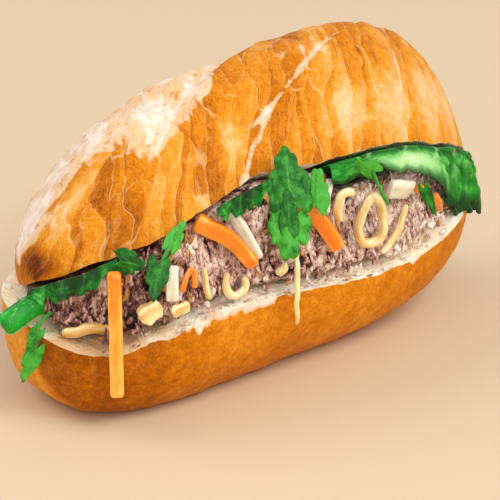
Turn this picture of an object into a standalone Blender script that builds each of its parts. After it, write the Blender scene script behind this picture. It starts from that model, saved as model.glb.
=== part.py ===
"""Banh mi sandwich: a short crusty roll, slit along its front and both tips and still joined along its back,
opened over a heap of minced pork with carrot, daikon, onion, cucumber, lettuce and coriander.

Metres. +X runs along the roll to its right end, -Y is the open front, +Z is up.
The origin is the middle of the flat underside that the roll rests on.
"""

import math
import random

import bmesh
import bpy
from mathutils import Vector, noise

MM = 0.001

# The roll, before its lid is lifted
BASE_TIPS = (-92 * MM, 98 * MM)
LID_TIPS = (-86 * MM, 102 * MM)
ROLL_DEPTH = 80 * MM
HINGE_HEIGHT = 38 * MM
UNDERSIDE_CUT = 4 * MM          # what the flat underside takes off the round base
PLAN_POWER = 2.6                # power of the plan's outline: 2 is an ellipse
BASE_LEFT_PLAN = 3.1            # and of the base's left half
SECTION_POWER = 2.3             # power of the cross-section's outline
BASE_LEFT_POWER = 3.0           # and of the base's near its left tip
LID_OVERHANG = 9 * MM           # how far the lid's crust reaches past its cut face near the right tip

# Along the roll, as (distance from its middle, value) in mm
BASE_RIM_HEIGHT = ((-92, 25), (-80, 25), (-68, 29), (-50, 33), (-30, 36), (0, 33), (20, 31), (50, 30), (80, 34),
                   (98, 39))
LID_RIM_DROP = ((-86, 8), (-72, 9), (-58, 9), (-40, 5), (-17, 0), (5, 2), (50, 2), (75, 4), (102, 5))
LID_HEIGHT = ((-86, 36), (-60, 40), (-20, 44), (20, 47), (60, 54), (85, 59), (102, 60))
LID_BOW = 10 * MM               # how far the lid's tips hang below its middle

# The cut that opens the roll
HINGE_INSET = 8 * MM            # crust and crumb left uncut at the back
LID_TILT = math.radians(32)
GAP = 0.4 * MM                  # clearance between pieces that touch

HALF_DEPTH = ROLL_DEPTH / 2
HINGE_Y = HALF_DEPTH - HINGE_INSET

# Slashes in the lid's crust: x at the front rim in mm, mm along per degree round the crust, half width in mm,
# depth in mm, first and last degree
SLASHES = (
    (-90, 1.24, 7.5, 2.2, 8, 150),
    (-45, 1.58, 5.0, 1.8, -5, 150),
    (66, 0.16, 4.5, 1.3, 30, 130),
)

# The heap of meat
HEAP_TIPS = (-88 * MM, 90 * MM)
HEAP_DEPTH = 37 * MM            # how far its front stands before the roll's middle
HEAP_LEAN = 6 * MM              # how far it leans back under the lid
HEAP_BACK = 26 * MM             # and how far it reaches towards the hinge
HEAP_POWER = 6
HEAP_CLEARANCE = 1.2 * MM       # from the two cut faces
LUMPS = 34
LUMP_OUT = 1.5 * MM             # how far the core stays behind the front

# The lettuce under the lid's right half
LETTUCE_START = 4 * MM
LEAF_ROOM = 3.9 * MM            # room left for it above the meat
LETTUCE_THICKNESS = 0.8 * MM
# How deep it hangs below the lid, as (hundredths of its way from its front end, mm)
LEAF_DROP = ((0, 6), (15, 7), (24, 10.5), (32, 13), (37, 20), (43, 22), (55, 21), (78, 20), (90, 19), (100, 9))

# Leaves and stems of coriander
LEAF_THICKNESS = 0.6 * MM
FACING = Vector((-0.64, -0.77, 0.0))    # the side that the sprigs lie open to
# Half of a leaf's outline, as (share of its length, share of its width)
LEAF_OUTLINE = (
    (0.00, 0.03), (0.09, 0.07), (0.02, 0.32), (0.18, 0.46), (0.40, 0.50), (0.47, 0.22), (0.60, 0.18), (0.76, 0.32),
    (0.84, 0.20), (0.96, 0.16),
)

# Colour, roughness, and whether the faces are shaded smooth
FINISHES = {
    "crust": ((0.78, 0.40, 0.08), 0.55, True),
    "meat": ((0.42, 0.26, 0.20), 0.60, True),
    "carrot": ((0.90, 0.33, 0.04), 0.35, True),
    "daikon": ((0.80, 0.76, 0.64), 0.35, True),
    "onion": ((0.78, 0.58, 0.24), 0.35, True),
    "cucumber": ((0.05, 0.36, 0.07), 0.35, True),
    "lettuce": ((0.10, 0.38, 0.08), 0.40, False),
    "coriander": ((0.05, 0.27, 0.04), 0.45, False),
}

RINGS = 32
SEGMENTS = 24
CRUST_SHARE = 0.72              # share of a section's segments that lie on the crust


def along(knots, x):
    """Reads a smooth curve through (distance, value) knots in mm, at x metres, in metres."""
    x = max(knots[0][0], min(knots[-1][0], x / MM))
    for k in range(len(knots) - 1):
        if x <= knots[k + 1][0]:
            break
    before, after = max(k - 1, 0), min(k + 2, len(knots) - 1)

    def slope(left, right):
        return (knots[right][1] - knots[left][1]) / (knots[right][0] - knots[left][0])

    span = knots[k + 1][0] - knots[k][0]
    t = (x - knots[k][0]) / span
    start, end = slope(before, k + 1) * span, slope(k, after) * span
    value = ((2 * t**3 - 3 * t**2 + 1) * knots[k][1] + (t**3 - 2 * t**2 + t) * start
             + (3 * t**2 - 2 * t**3) * knots[k + 1][1] + (t**3 - t**2) * end)
    return value * MM


def end_profile(x, tips, power):
    """How full the roll still is at x: 1 in its middle and 0 at its tips."""
    tip = tips[0] if x < 0 else tips[1]
    return max(0.0, 1 - abs(x / tip) ** power) ** (1 / power)


def half_width(x, tips):
    power = BASE_LEFT_PLAN if tips == BASE_TIPS and x < 0 else PLAN_POWER
    return HALF_DEPTH * end_profile(x, tips, power)


def lumps(x, y, z, size, height):
    """Uneven relief of about this size and height."""
    return noise.noise(Vector((x, y, z)) / size) * height


# The two halves of the roll

def frontness(y):
    """0 at the hinge and 1 at the front rim."""
    return min(1.0, max(0.0, (HINGE_Y - y) / (HINGE_Y + HALF_DEPTH)))


def base_cut(x, y):
    """Height of the base's cut face."""
    drop = HINGE_HEIGHT - along(BASE_RIM_HEIGHT, x)
    return HINGE_HEIGHT - drop * frontness(y) + lumps(x, y, 0, 9 * MM, 0.7 * MM)


def lid_cut(x, y):
    """Height of the lid's cut face above the hinge line, before the lid is lifted."""
    return -along(LID_RIM_DROP, x) * frontness(y) + lumps(x, y, 7 * MM, 9 * MM, 0.7 * MM)


def lift_lid(x, y, z):
    """Turns a point of the closed lid about the hinge line to where it stands open."""
    back, up = y - HINGE_Y, z
    return Vector((
        x,
        HINGE_Y + back * math.cos(LID_TILT) + up * math.sin(LID_TILT),
        HINGE_HEIGHT - back * math.sin(LID_TILT) + up * math.cos(LID_TILT) - LID_BOW * abs(x / LID_TIPS[1]) ** 2.5,
    ))


def base_point(x, angle):
    """A point of the base's crust: angle 0 is the front rim, 90 degrees the underside, 180 the back rim."""
    power = SECTION_POWER + (BASE_LEFT_POWER - SECTION_POWER) * min(1.0, max(0.0, -x / (60 * MM)))
    y = -half_width(x, BASE_TIPS) * math.copysign(abs(math.cos(angle)) ** (2 / power), math.cos(angle))
    rim = base_cut(x, y)
    depth = (rim + UNDERSIDE_CUT) * end_profile(x, BASE_TIPS, 4.5 if x < 0 else 2.4)
    z = rim - depth * math.sin(angle) ** (2 / power)
    return Vector((x, y, max(z, 0.0)))


def slash_relief(x, angle):
    """How far the lid's crust stands out at a slash: below 0 in it, above 0 at the lip along its right side."""
    degrees = math.degrees(angle)
    relief = 0.0
    for start, slope, half, depth, first, last in SLASHES:
        inside = min(1.0, max(0.0, (degrees - first) / 12)) * min(1.0, max(0.0, (last - degrees) / 25))
        offset = (x / MM - start - slope * degrees) / half
        relief -= depth * inside * (math.exp(-offset ** 2) - 0.5 * math.exp(-(1.3 * (offset - 1.8)) ** 2))
    return relief * MM


def lid_point(x, angle):
    """A point of the lid's crust: angle 0 is the front rim, 90 degrees the ridge, 180 the back rim."""
    fullness = end_profile(x, LID_TIPS, 2.2 if x < 0 else 3.6)
    relief = (slash_relief(x, angle) + lumps(x, angle * 30 * MM, 0, 14 * MM, 0.9 * MM)) * math.sin(angle) * fullness
    out = math.copysign(abs(math.cos(angle)) ** (2 / SECTION_POWER), math.cos(angle))
    y = -half_width(x, LID_TIPS) * out
    rim = lid_cut(x, y)
    rise = math.sin(angle) ** (2 / SECTION_POWER)
    z = rim + (along(LID_HEIGHT, x) - rim) * fullness * rise + relief * math.sin(angle)
    overhang = LID_OVERHANG * max(0.0, x / LID_TIPS[1]) ** 2 * fullness * rise
    return lift_lid(x + overhang, y - relief * math.cos(angle), z)


def half_roll(name, tips, crust_point, cut_point):
    """One half of the roll: a sphere whose rings follow the crust and come back along the cut face."""
    bpy.ops.mesh.primitive_uv_sphere_add(segments=SEGMENTS, ring_count=RINGS)
    half = bpy.context.object
    half.name = name
    for vertex in half.data.vertices:
        pole = max(-1.0, min(1.0, vertex.co.z))
        x = (tips[1] if pole > 0 else -tips[0]) * math.copysign(abs(pole) ** 0.9, pole)
        if abs(pole) > 0.9999:
            vertex.co = crust_point(x, 0.0)
            continue
        turn = math.atan2(vertex.co.y, -vertex.co.x) / (2 * math.pi) % 1.0
        if turn <= CRUST_SHARE:
            vertex.co = crust_point(x, math.pi * turn / CRUST_SHARE)
        else:
            across = (turn - CRUST_SHARE) / (1 - CRUST_SHARE)
            vertex.co = cut_point(x, half_width(x, tips) * (1 - 2 * across))
    return half


def face_outwards(item):
    shell = bmesh.new()
    shell.from_mesh(item.data)
    bmesh.ops.recalc_face_normals(shell, faces=shell.faces)
    shell.to_mesh(item.data)
    shell.free()


def clean(item):
    """Cuts every face into triangles and takes out a Boolean's slivers, as far as the solid stays closed."""
    for merge in (0.05 * MM, 0.03 * MM, 0.01 * MM, 0.0):
        shell = bmesh.new()
        shell.from_mesh(item.data)
        bmesh.ops.triangulate(shell, faces=shell.faces)
        if merge:
            bmesh.ops.remove_doubles(shell, verts=shell.verts, dist=merge)
            bmesh.ops.dissolve_degenerate(shell, edges=shell.edges, dist=merge)
            bmesh.ops.triangulate(shell, faces=shell.faces)
        closed = all(edge.is_manifold for edge in shell.edges)
        if closed or not merge:
            shell.to_mesh(item.data)
        shell.free()
        if closed:
            return


def combine(item, others, operation, solver="EXACT"):
    """Joins the others to the item, or cuts them from it, and removes them."""
    group = bpy.data.collections.new("combined pieces")
    for other in others:
        group.objects.link(other)
    step = item.modifiers.new("Combine", "BOOLEAN")
    step.operation = operation
    step.solver = solver
    step.operand_type = "COLLECTION"
    step.collection = group
    depsgraph = bpy.context.evaluated_depsgraph_get()
    combined = bpy.data.meshes.new_from_object(item.evaluated_get(depsgraph))
    item.modifiers.clear()
    item.data = combined
    clean(item)
    for other in others:
        bpy.data.objects.remove(other)
    bpy.data.collections.remove(group)
    return item


def fuse(item, others, solver="EXACT"):
    return combine(item, others, "UNION", solver)


def make_roll():
    base = half_roll("roll", BASE_TIPS, base_point, lambda x, y: Vector((x, y, base_cut(x, y))))
    lid = half_roll("lid", LID_TIPS, lid_point, lambda x, y: lift_lid(x, y, lid_cut(x, y)))
    for half in (base, lid):
        face_outwards(half)
    return fuse(base, [lid])


# The filling

def mouth_roof(x, y):
    """Height of the lid's cut face above the point (x, y)."""
    up = 0.0
    for _ in range(4):
        back = (y - HINGE_Y - up * math.sin(LID_TILT)) / math.cos(LID_TILT)
        up = lid_cut(x, HINGE_Y + back)
    return lift_lid(x, HINGE_Y + back, up).z


def heap_front(x, height):
    """How far forward the meat stands at x: height 0 at its foot and 1 under the lid."""
    lean = HEAP_LEAN + (LEAF_ROOM if x > LETTUCE_START else 0)
    return -(HEAP_DEPTH - lean * height) * end_profile(x, HEAP_TIPS, PLAN_POWER)


def heap_point(x, turn):
    """A point of the meat's core; turn runs once round the section from the front."""
    across = math.copysign(abs(math.cos(turn)) ** (2 / HEAP_POWER), math.cos(turn))
    rise = math.copysign(abs(math.sin(turn)) ** (2 / HEAP_POWER), math.sin(turn))
    front = heap_front(x, (1 + rise) / 2) + LUMP_OUT
    rear = HEAP_BACK * end_profile(x, HEAP_TIPS, PLAN_POWER)
    y = (front + rear) / 2 - across * (rear - front) / 2
    low, high = heap_floor(x, y), heap_ceiling(x, y)
    squeeze = end_profile(x, HEAP_TIPS, 5)
    return Vector((x, y, (low + high) / 2 + rise * squeeze * (high - low) / 2))


def heap_floor(x, y):
    return base_cut(x, y) + HEAP_CLEARANCE


def heap_ceiling(x, y):
    room = LEAF_ROOM if x > LETTUCE_START else HEAP_CLEARANCE
    return max(mouth_roof(x, y) - room, heap_floor(x, y) + 1 * MM)


def make_meat():
    bpy.ops.mesh.primitive_uv_sphere_add(segments=14, ring_count=18)
    meat = bpy.context.object
    meat.name = "meat"
    for vertex in meat.data.vertices:
        pole = max(-1.0, min(1.0, vertex.co.z))
        x = (HEAP_TIPS[1] if pole > 0 else -HEAP_TIPS[0]) * math.copysign(abs(pole) ** 0.9, pole)
        turn = 0.0 if abs(pole) > 0.9999 else math.atan2(vertex.co.y, -vertex.co.x)
        vertex.co = heap_point(x, turn)
    face_outwards(meat)
    chance = random.Random(11)
    pieces = []
    for k in range(LUMPS):
        x = HEAP_TIPS[0] * 0.97 + (HEAP_TIPS[1] - HEAP_TIPS[0]) * 0.955 * (k + chance.uniform(0.1, 0.9)) / LUMPS
        height = (k * 0.382 + chance.uniform(-0.08, 0.08)) % 1.0
        y = heap_front(x, height) + LUMP_OUT
        low, high = heap_floor(x, y), heap_ceiling(x, y)
        bpy.ops.mesh.primitive_ico_sphere_add(subdivisions=2, radius=1)
        lump = bpy.context.object
        size = (chance.uniform(3.2, 5.2) * MM, chance.uniform(2.6, 3.6) * MM, chance.uniform(4.0, 7.0) * MM)
        spin = chance.uniform(-0.6, 0.6)
        inset = chance.uniform(0.2, 1.0) * MM
        centre = Vector((x, y, low + (high - low) * height))
        for vertex in lump.data.vertices:
            shape = vertex.co * (1 + 0.35 * noise.noise(vertex.co * 1.7 + Vector((k, 0, 0))))
            shape = Vector((shape.x * size[0], shape.y * size[1], shape.z * size[2]))
            turned = Vector((shape.x * math.cos(spin) + shape.z * math.sin(spin), shape.y,
                             shape.z * math.cos(spin) - shape.x * math.sin(spin)))
            spot = centre + turned
            spot.z = max(heap_floor(spot.x, spot.y) + inset, spot.z)
            spot.z = min(heap_ceiling(spot.x, spot.y) - inset, spot.z)
            vertex.co = spot
        pieces.append(lump)
    return fuse(meat, pieces, "MANIFOLD")


# Shapes of the small pieces

def strip(name, path, width, thickness, sides=8, power=3.2):
    """A stick or strand along a path in mm, open to the front: a cylinder whose rings are laid along the path."""
    path = [Vector(point) for point in path]
    first, last = (path[1] - path[0]).normalized(), (path[-1] - path[-2]).normalized()
    rings = [(path[0], 0.62), (path[0] + first * 0.3 * thickness, 1.0)]
    rings += [(point, 1.0) for point in path[1:-1]]
    rings += [(path[-1] - last * 0.3 * thickness, 1.0), (path[-1], 0.62)]
    shell = bmesh.new()
    bmesh.ops.create_cone(shell, cap_ends=True, cap_tris=True, segments=sides, radius1=1, radius2=1,
                          depth=len(rings) - 1)
    walls = [edge for edge in shell.edges if abs(edge.verts[0].co.z - edge.verts[1].co.z) > 0.5]
    bmesh.ops.subdivide_edges(shell, edges=walls, cuts=len(rings) - 2, use_grid_fill=True)
    for vertex in shell.verts:
        k = round(vertex.co.z + (len(rings) - 1) / 2)
        centre, scale = rings[k]
        way = (rings[min(k + 1, len(rings) - 1)][0] - rings[max(k - 1, 0)][0]).normalized()
        over = way.cross(FACING).normalized()
        deep = over.cross(way).normalized()
        if math.hypot(vertex.co.x, vertex.co.y) < 0.1:
            vertex.co = centre * MM
            continue
        angle = math.atan2(vertex.co.y, vertex.co.x) + math.pi / sides
        c, s = math.cos(angle), math.sin(angle)
        size = scale / (abs(c) ** power + abs(s) ** power) ** (1 / power)
        vertex.co = (centre + over * c * size * width / 2 + deep * s * size * thickness / 2) * MM
    return placed(name, shell)


def placed(name, shell):
    """Makes an object of a finished shell, with its faces outwards."""
    bmesh.ops.triangulate(shell, faces=shell.faces)
    bmesh.ops.recalc_face_normals(shell, faces=shell.faces)
    mesh = bpy.data.meshes.new(name)
    shell.to_mesh(mesh)
    shell.free()
    piece = bpy.data.objects.new(name, mesh)
    bpy.context.scene.collection.objects.link(piece)
    return piece


def thicken(piece, thickness):
    """Turns a triangulated open surface into a thin solid whose two faces are cut alike."""
    shell = piece.modifiers.new("Thickness", "SOLIDIFY")
    shell.thickness = thickness
    shell.offset = 0
    solid = bpy.data.meshes.new_from_object(piece.evaluated_get(bpy.context.evaluated_depsgraph_get()))
    piece.modifiers.clear()
    piece.data = solid
    face_outwards(piece)
    return piece


def sheet(name, point, columns, rows, thickness):
    """A thin leaf: a grid laid through point(s, t), with s and t from 0 to 1."""
    shell = bmesh.new()
    bmesh.ops.create_grid(shell, x_segments=columns, y_segments=rows, size=0.5)
    for vertex in shell.verts:
        vertex.co = point(vertex.co.x + 0.5, vertex.co.y + 0.5)
    return thicken(placed(name, shell), thickness)


def leaf(name, foot, tip, width, curl=0.12):
    """A lobed leaf from its foot to its tip, both in mm, open to the front and curling backwards at its tip."""
    foot, tip = Vector(foot), Vector(tip)
    length = (tip - foot).length
    way = (tip - foot) / length
    over = way.cross(FACING).normalized()
    out = over.cross(way).normalized()
    if out.dot(FACING) < 0:
        out = -out
    outline = [(t, a) for t, a in LEAF_OUTLINE] + [(1.02, 0.0)] + [(t, -a) for t, a in reversed(LEAF_OUTLINE)]
    shell = bmesh.new()
    corners = [shell.verts.new((t * length, a * width, 0)) for t, a in outline]
    shell.faces.new(corners)
    bmesh.ops.triangulate(shell, faces=shell.faces)
    for vertex in corners:
        t, a = vertex.co.x / length, vertex.co.y / width
        bend = -curl * length * t * t - 0.35 * width * abs(a) * (1 - t) + 0.25 * math.sin(9 * t + 5 * a)
        vertex.co = (foot + way * t * length + over * a * width + out * bend) * MM
    return thicken(placed(name, shell), LEAF_THICKNESS)


def stem(path, size=1.3):
    return strip("stem", path, size, size, sides=6, power=2)


def ring(name, centre, width, height, band, thickness):
    """A closed ring of onion standing in the filling's front."""
    bpy.ops.mesh.primitive_torus_add(major_segments=22, minor_segments=8, major_radius=1, minor_radius=0.25)
    piece = bpy.context.object
    piece.name = name
    for vertex in piece.data.vertices:
        x, y, z = vertex.co
        reach = math.hypot(x, y)
        swell = (reach - 1) / 0.25
        c, s = x / reach, y / reach
        vertex.co = Vector((
            centre[0] + c * (width / 2 + swell * band / 2),
            centre[1] + z / 0.25 * thickness / 2 + 0.9 * math.sin(2 * math.atan2(s, c)),
            centre[2] + s * (height / 2 + swell * band / 2),
        )) * MM
    face_outwards(piece)
    return piece


# The pieces, each where it lies, in mm

def make_sticks():
    return {
        "carrot": [
            strip("carrot_left", [(-79.6, -31.6, 58.4), (-80.0, -32.4, 37), (-79.9, -32.4, 14.2)], 4.6, 4.2),
            strip("carrot_middle", [(-43.2, -28.9, 66.0), (-33.4, -34.3, 58.9), (-25.0, -37.7, 48.2)], 6.6, 4.6),
            strip("carrot_right", [(-0.9, -32.2, 64.2), (6.0, -36.0, 55.4), (11.9, -38.9, 44.9)], 6.4, 4.6),
            strip("carrot_shred_1", [(66.1, -28.9, 48.2), (68.4, -28.9, 44.6), (74.4, -23.4, 38.4)], 2.8, 2.0),
            strip("carrot_shred_2", [(54.6, -31.5, 53.4), (57.0, -31.3, 53.4), (59.1, -30.7, 52.7)], 2.6, 2.2),
            strip("carrot_shred_3", [(-53.8, -34.6, 45.5), (-52.1, -34.7, 50.1), (-50.1, -34.7, 52.3), (-48.8, -34.8, 50.5),
                                     (-48.9, -35.3, 45.8)], 1.8, 1.6, sides=6),
        ],
        "daikon": [
            strip("daikon_middle", [(-29.6, -27.5, 67.6), (-26.1, -31.6, 60.6), (-21.2, -35.1, 48.8)], 4.4, 2.6),
            strip("daikon_left", [(-56.0, -32.3, 54.7), (-57.2, -33.7, 48.2), (-58.0, -34.5, 43.1)], 4.2, 2.4),
            strip("daikon_right", [(40.7, -32.7, 57.7), (46.2, -32.5, 56.4), (51.9, -31.4, 54.3)], 7.4, 3.4),
            strip("daikon_sliver", [(14.9, -30.6, 67.2), (11.3, -32.9, 62.3), (9.9, -34.0, 57.1)], 3.0, 1.8),
        ],
        "onion": [
            ring("onion_ring", (28.9, -36.5, 49.8), 11.2, 16.8, 3.4, 2.6),
            strip("onion_arc", [(49.7, -31.8, 49.5), (48.1, -32.8, 46.4), (44.4, -34.4, 42.5), (37.7, -36.8, 38.8),
                                (32.7, -37.8, 37.4)], 2.6, 2.2, sides=6),
            strip("onion_hook", [(23.4, -33.1, 61.2), (20.1, -34.2, 62.3), (16.4, -34.8, 61.0), (14.3, -35.5, 57.5),
                                 (14.8, -36.1, 53.4)], 3.4, 2.2, sides=6),
            strip("onion_top", [(-18.4, -29.5, 69.1), (-14.6, -31.1, 68.9), (-12.3, -32.3, 66.5),
                                (-11.8, -33.3, 63.0)], 3.2, 1.8, sides=6),
            strip("onion_curl", [(-28.7, -36.6, 44.7), (-28.6, -37.3, 41.6), (-32.1, -37.5, 39.2), (-35.9, -37.3, 40.1),
                                 (-36.9, -36.6, 43.6), (-35.0, -35.5, 47.1)], 2.8, 2.2, sides=6),
            strip("onion_small", [(-15.6, -37.6, 42.5), (-12.9, -38.1, 43.3), (-11.0, -37.6, 45.5)], 3.0, 2.0, sides=6),
            strip("onion_slab_1", [(-62.3, -34.5, 43.1), (-66.0, -34.2, 41.4), (-70.3, -33.4, 38.8)], 7.0, 2.4),
            strip("onion_slab_2", [(-51.7, -35.9, 40.5), (-54.9, -36.0, 40.1), (-59.0, -36.3, 39.4)], 4.2, 2.2),
            strip("onion_left", [(-86.6, -12.0, 31.6), (-85.0, -15.6, 33.2), (-82.0, -18.8, 34.6), (-78.6, -21.4, 34.8),
                                 (-75.4, -24.0, 34.2)], 4.0, 2.4, sides=6),
            strip("onion_strand_1", [(-44.8, -35.2, 51.7), (-45.2, -36.3, 46.0), (-44.0, -37.1, 41.0)], 2.2, 1.6,
                  sides=6),
            strip("onion_strand_2", [(-6.6, -38.3, 46.9), (-9.2, -41.1, 42.3), (-12.6, -45.1, 39.6), (-15.0, -48.0, 36.2),
                                     (-15.5, -48.4, 27.2)], 1.9, 1.3, sides=6),
        ],
        "cucumber": [
            strip("cucumber", [(-100.5, 3, 33.0), (-89, 0, 38.7), (-72, -3, 41.2), (-58, -5, 43.6)], 8.6, 6.6,
                  sides=12, power=2.2),
        ],
    }


def make_lettuce():
    def hanging(s, t):
        turn = math.radians(86 - 96 * s)
        x = LID_TIPS[1] * math.cos(turn) ** (2 / PLAN_POWER)
        y = -HALF_DEPTH * math.copysign(abs(math.sin(turn)) ** (2 / PLAN_POWER), math.sin(turn))
        inset = 0.5 + 0.5 * min(1.0, t / 0.5)
        spot = lift_lid(x * inset, y * inset, lid_cut(x * inset, y * inset) - 1.7 * MM)
        over = max(0.0, (t - 0.5) / 0.5)
        frill = math.sin(46 * s) + 0.5 * math.sin(83 * s + 1)
        outwards = Vector((math.cos(turn), -0.9 * math.sin(turn), 0))
        drop = along(LEAF_DROP, 100 * MM * s)
        spot += outwards * (2.6 + 2.6 * s + 0.9 * frill) * over ** 0.5 * MM
        spot.z -= drop * over ** 1.6 + 0.8 * MM * frill * over
        past = (abs(spot.x / BASE_TIPS[1]) ** PLAN_POWER + abs(spot.y / HALF_DEPTH) ** PLAN_POWER) ** (1 / PLAN_POWER)
        outside = max(0.0, (past - 1) * math.hypot(spot.x, spot.y) - 1.5 * MM)
        spot.z = max(spot.z, base_cut(spot.x, spot.y) + 1.4 * MM - 3 * outside)
        return spot

    def left(s, t):
        path = (Vector((-89.0, -13.0, 52.0)), Vector((-83.0, -20.0, 53.0)), Vector((-78.5, -23.5, 56.0)),
                Vector((-73.5, -26.0, 58.4)))
        return frill_point(path, s, t, 5.0)

    def middle(s, t):
        path = (Vector((-38.5, -34.2, 71.2)), Vector((-31.0, -35.0, 73.6)), Vector((-22.6, -35.0, 75.0)),
                Vector((-14.5, -34.6, 76.0)))
        return frill_point(path, s, t, 6.5)

    return [
        sheet("lettuce", hanging, 26, 6, LETTUCE_THICKNESS),
        sheet("lettuce_frill_left", left, 12, 3, LETTUCE_THICKNESS),
        sheet("lettuce_frill_middle", middle, 12, 3, LETTUCE_THICKNESS),
    ]


def frill_point(path, s, t, height):
    """A point of a hanging frill: its upper edge follows the path, and its lower edge waves."""
    place = s * (len(path) - 1)
    k = min(int(place), len(path) - 2)
    spot = path[k].lerp(path[k + 1], place - k) * MM
    wave = math.sin(21 * s) + 0.4 * math.sin(47 * s)
    deep = height * (0.75 + 0.25 * math.sin(math.pi * s)) * (1 + 0.18 * math.sin(33 * s + 2))
    return spot + FACING * (0.9 * wave * t + 0.8 * t) * MM + Vector((0, 0, -deep * t * MM))


def make_coriander():
    return [
        fuse(stem([(-14.1, -42.0, 55.1), (-12.4, -42.1, 60.9), (-9.7, -40.4, 68.6), (-9.7, -38.4, 73.3)], 1.6), [
            leaf("leaf", (-11.5, -40.6, 68.4), (-9.0, -33.7, 85.9), 12.4),
            leaf("leaf", (-14.0, -42.7, 59.4), (-12.0, -39.4, 72.8), 5.6, 0.05),
            leaf("leaf", (-12.9, -41.8, 62.9), (-15.7, -44.3, 49.4), 12.0, 0.02),
        ]),
        leaf("coriander_leaflet", (0.9, -38.8, 63.4), (5.0, -35.4, 75.4), 8.0, 0.05),
        fuse(stem([(-51.2, -31.6, 68.4), (-56.9, -33.5, 63.7), (-62.3, -34.8, 58.4), (-65.9, -36.1, 53.3)]), [
            leaf("leaf", (-64.0, -35.5, 58.4), (-68.5, -37.7, 46.9), 6.4, 0.0),
            leaf("leaf", (-57.8, -34.0, 62.8), (-50.4, -31.8, 69.1), 4.6, 0.0),
        ]),
        leaf("coriander_by_carrot", (-76.2, -30.2, 61.0), (-69.6, -35.8, 59.3), 7.6, 0.0),
        fuse(stem([(-88.4, -8.4, 38.9), (-93.2, -8.6, 36.4), (-94.0, -7.4, 29.8), (-94.4, -6.0, 24.0)]), [
            leaf("leaf", (-94.1, -7.0, 26.6), (-98.3, -4.2, 15.0), 5.2, 0.0),
            leaf("leaf", (-93.7, -7.9, 33.4), (-97.0, -6.2, 28.0), 4.0, 0.0),
        ]),
        fuse(stem([(27.3, -37.6, 70.8), (28.5, -39.3, 66.0), (29.9, -40.7, 61.5), (32.5, -41.3, 56.5)]), [
            leaf("leaf", (28.1, -38.4, 68.9), (20.5, -37.0, 75.6), 5.6, 0.0),
        ]),
        leaf("coriander_tip", (55.4, -35.1, 54.7), (60.1, -36.4, 43.8), 3.4, 0.0),
    ]


def carve(meat, pieces):
    """Cuts every piece out of the meat, a gap larger than it is, and drops the crumbs that come loose."""
    cutters = []
    for piece in pieces:
        cutter = piece.copy()
        cutter.data = piece.data.copy()
        normals = [vertex.normal.copy() for vertex in cutter.data.vertices]
        for vertex, normal in zip(cutter.data.vertices, normals):
            vertex.co += normal * 1.5 * GAP
        cutters.append(cutter)
    combine(meat, cutters, "DIFFERENCE", "MANIFOLD")
    shell = bmesh.new()
    shell.from_mesh(meat.data)
    left, largest = set(shell.verts), []
    while left:
        found, reached = [], [left.pop()]
        while reached:
            vertex = reached.pop()
            found.append(vertex)
            for edge in vertex.link_edges:
                other = edge.other_vert(vertex)
                if other in left:
                    left.discard(other)
                    reached.append(other)
        if len(found) > len(largest):
            largest = found
    keep = set(largest)
    bmesh.ops.delete(shell, geom=[vertex for vertex in shell.verts if vertex not in keep], context="VERTS")
    shell.to_mesh(meat.data)
    shell.free()


def paint(items, slot):
    colour, roughness, smooth = FINISHES[slot]
    material = bpy.data.materials.new(slot)
    material.use_nodes = True
    finish = material.node_tree.nodes["Principled BSDF"]
    finish.inputs["Base Color"].default_value = (*colour, 1)
    finish.inputs["Roughness"].default_value = roughness
    finish.inputs["Metallic"].default_value = 0.0
    for item in items:
        item.data.materials.clear()
        item.data.materials.append(material)
        if smooth:
            item.data.shade_smooth()
            item.data.set_sharp_from_angle(angle=math.radians(50))


def main():
    for item in list(bpy.data.objects):
        bpy.data.objects.remove(item)
    sticks = make_sticks()
    lettuce = make_lettuce()
    coriander = make_coriander()
    for name, sprig in zip(("coriander_centre", "coriander_leaflet", "coriander_left", "coriander_by_carrot",
                            "coriander_far_left", "coriander_right", "coriander_tip"), coriander):
        sprig.name = name
    meat = make_meat()
    carve(meat, [piece for group in sticks.values() for piece in group])
    roll = make_roll()
    paint([roll], "crust")
    paint([meat], "meat")
    for slot, group in sticks.items():
        paint(group, slot)
    paint(lettuce, "lettuce")
    paint(coriander, "coriander")
    sandwich = bpy.data.collections.new("banh_mi_sandwich")
    bpy.context.scene.collection.children.link(sandwich)
    for item in list(bpy.data.objects):
        for collection in list(item.users_collection):
            collection.objects.unlink(item)
        sandwich.objects.link(item)


main()
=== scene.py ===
import math
import random

import bpy
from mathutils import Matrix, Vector, noise
from mathutils.bvhtree import BVHTree


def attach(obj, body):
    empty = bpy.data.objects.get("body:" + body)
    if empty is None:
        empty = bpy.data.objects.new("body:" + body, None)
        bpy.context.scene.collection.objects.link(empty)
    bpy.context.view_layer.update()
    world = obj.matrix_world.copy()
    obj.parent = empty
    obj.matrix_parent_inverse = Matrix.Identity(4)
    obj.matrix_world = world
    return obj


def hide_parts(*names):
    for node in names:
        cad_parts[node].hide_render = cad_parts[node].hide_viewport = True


# Looks of the banh mi sandwich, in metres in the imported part's frame: +X runs along the roll to its right
# end, -Y is the open front, +Z is up, and the roll rests on the floor at z = 0.

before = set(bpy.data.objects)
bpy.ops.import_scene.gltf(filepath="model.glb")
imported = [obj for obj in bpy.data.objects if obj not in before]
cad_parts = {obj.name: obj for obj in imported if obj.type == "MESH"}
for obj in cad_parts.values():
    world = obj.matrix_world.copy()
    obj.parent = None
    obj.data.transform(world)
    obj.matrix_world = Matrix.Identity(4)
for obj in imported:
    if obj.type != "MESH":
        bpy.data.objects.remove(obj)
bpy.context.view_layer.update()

MM = 0.001

# The picture's view
VIEW_AZIMUTH = math.radians(-40)
VIEW_ELEVATION = math.radians(22.5)
VIEW_DISTANCE = 1.0
VIEW_TARGET = Vector((-0.000247, -0.005753, 0.036978))
VIEW_LENS = 205.2
SENSOR_WIDTH = 36
FACING = Vector((-0.64, -0.77, 0.0))    # level direction from the filling to the camera

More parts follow.
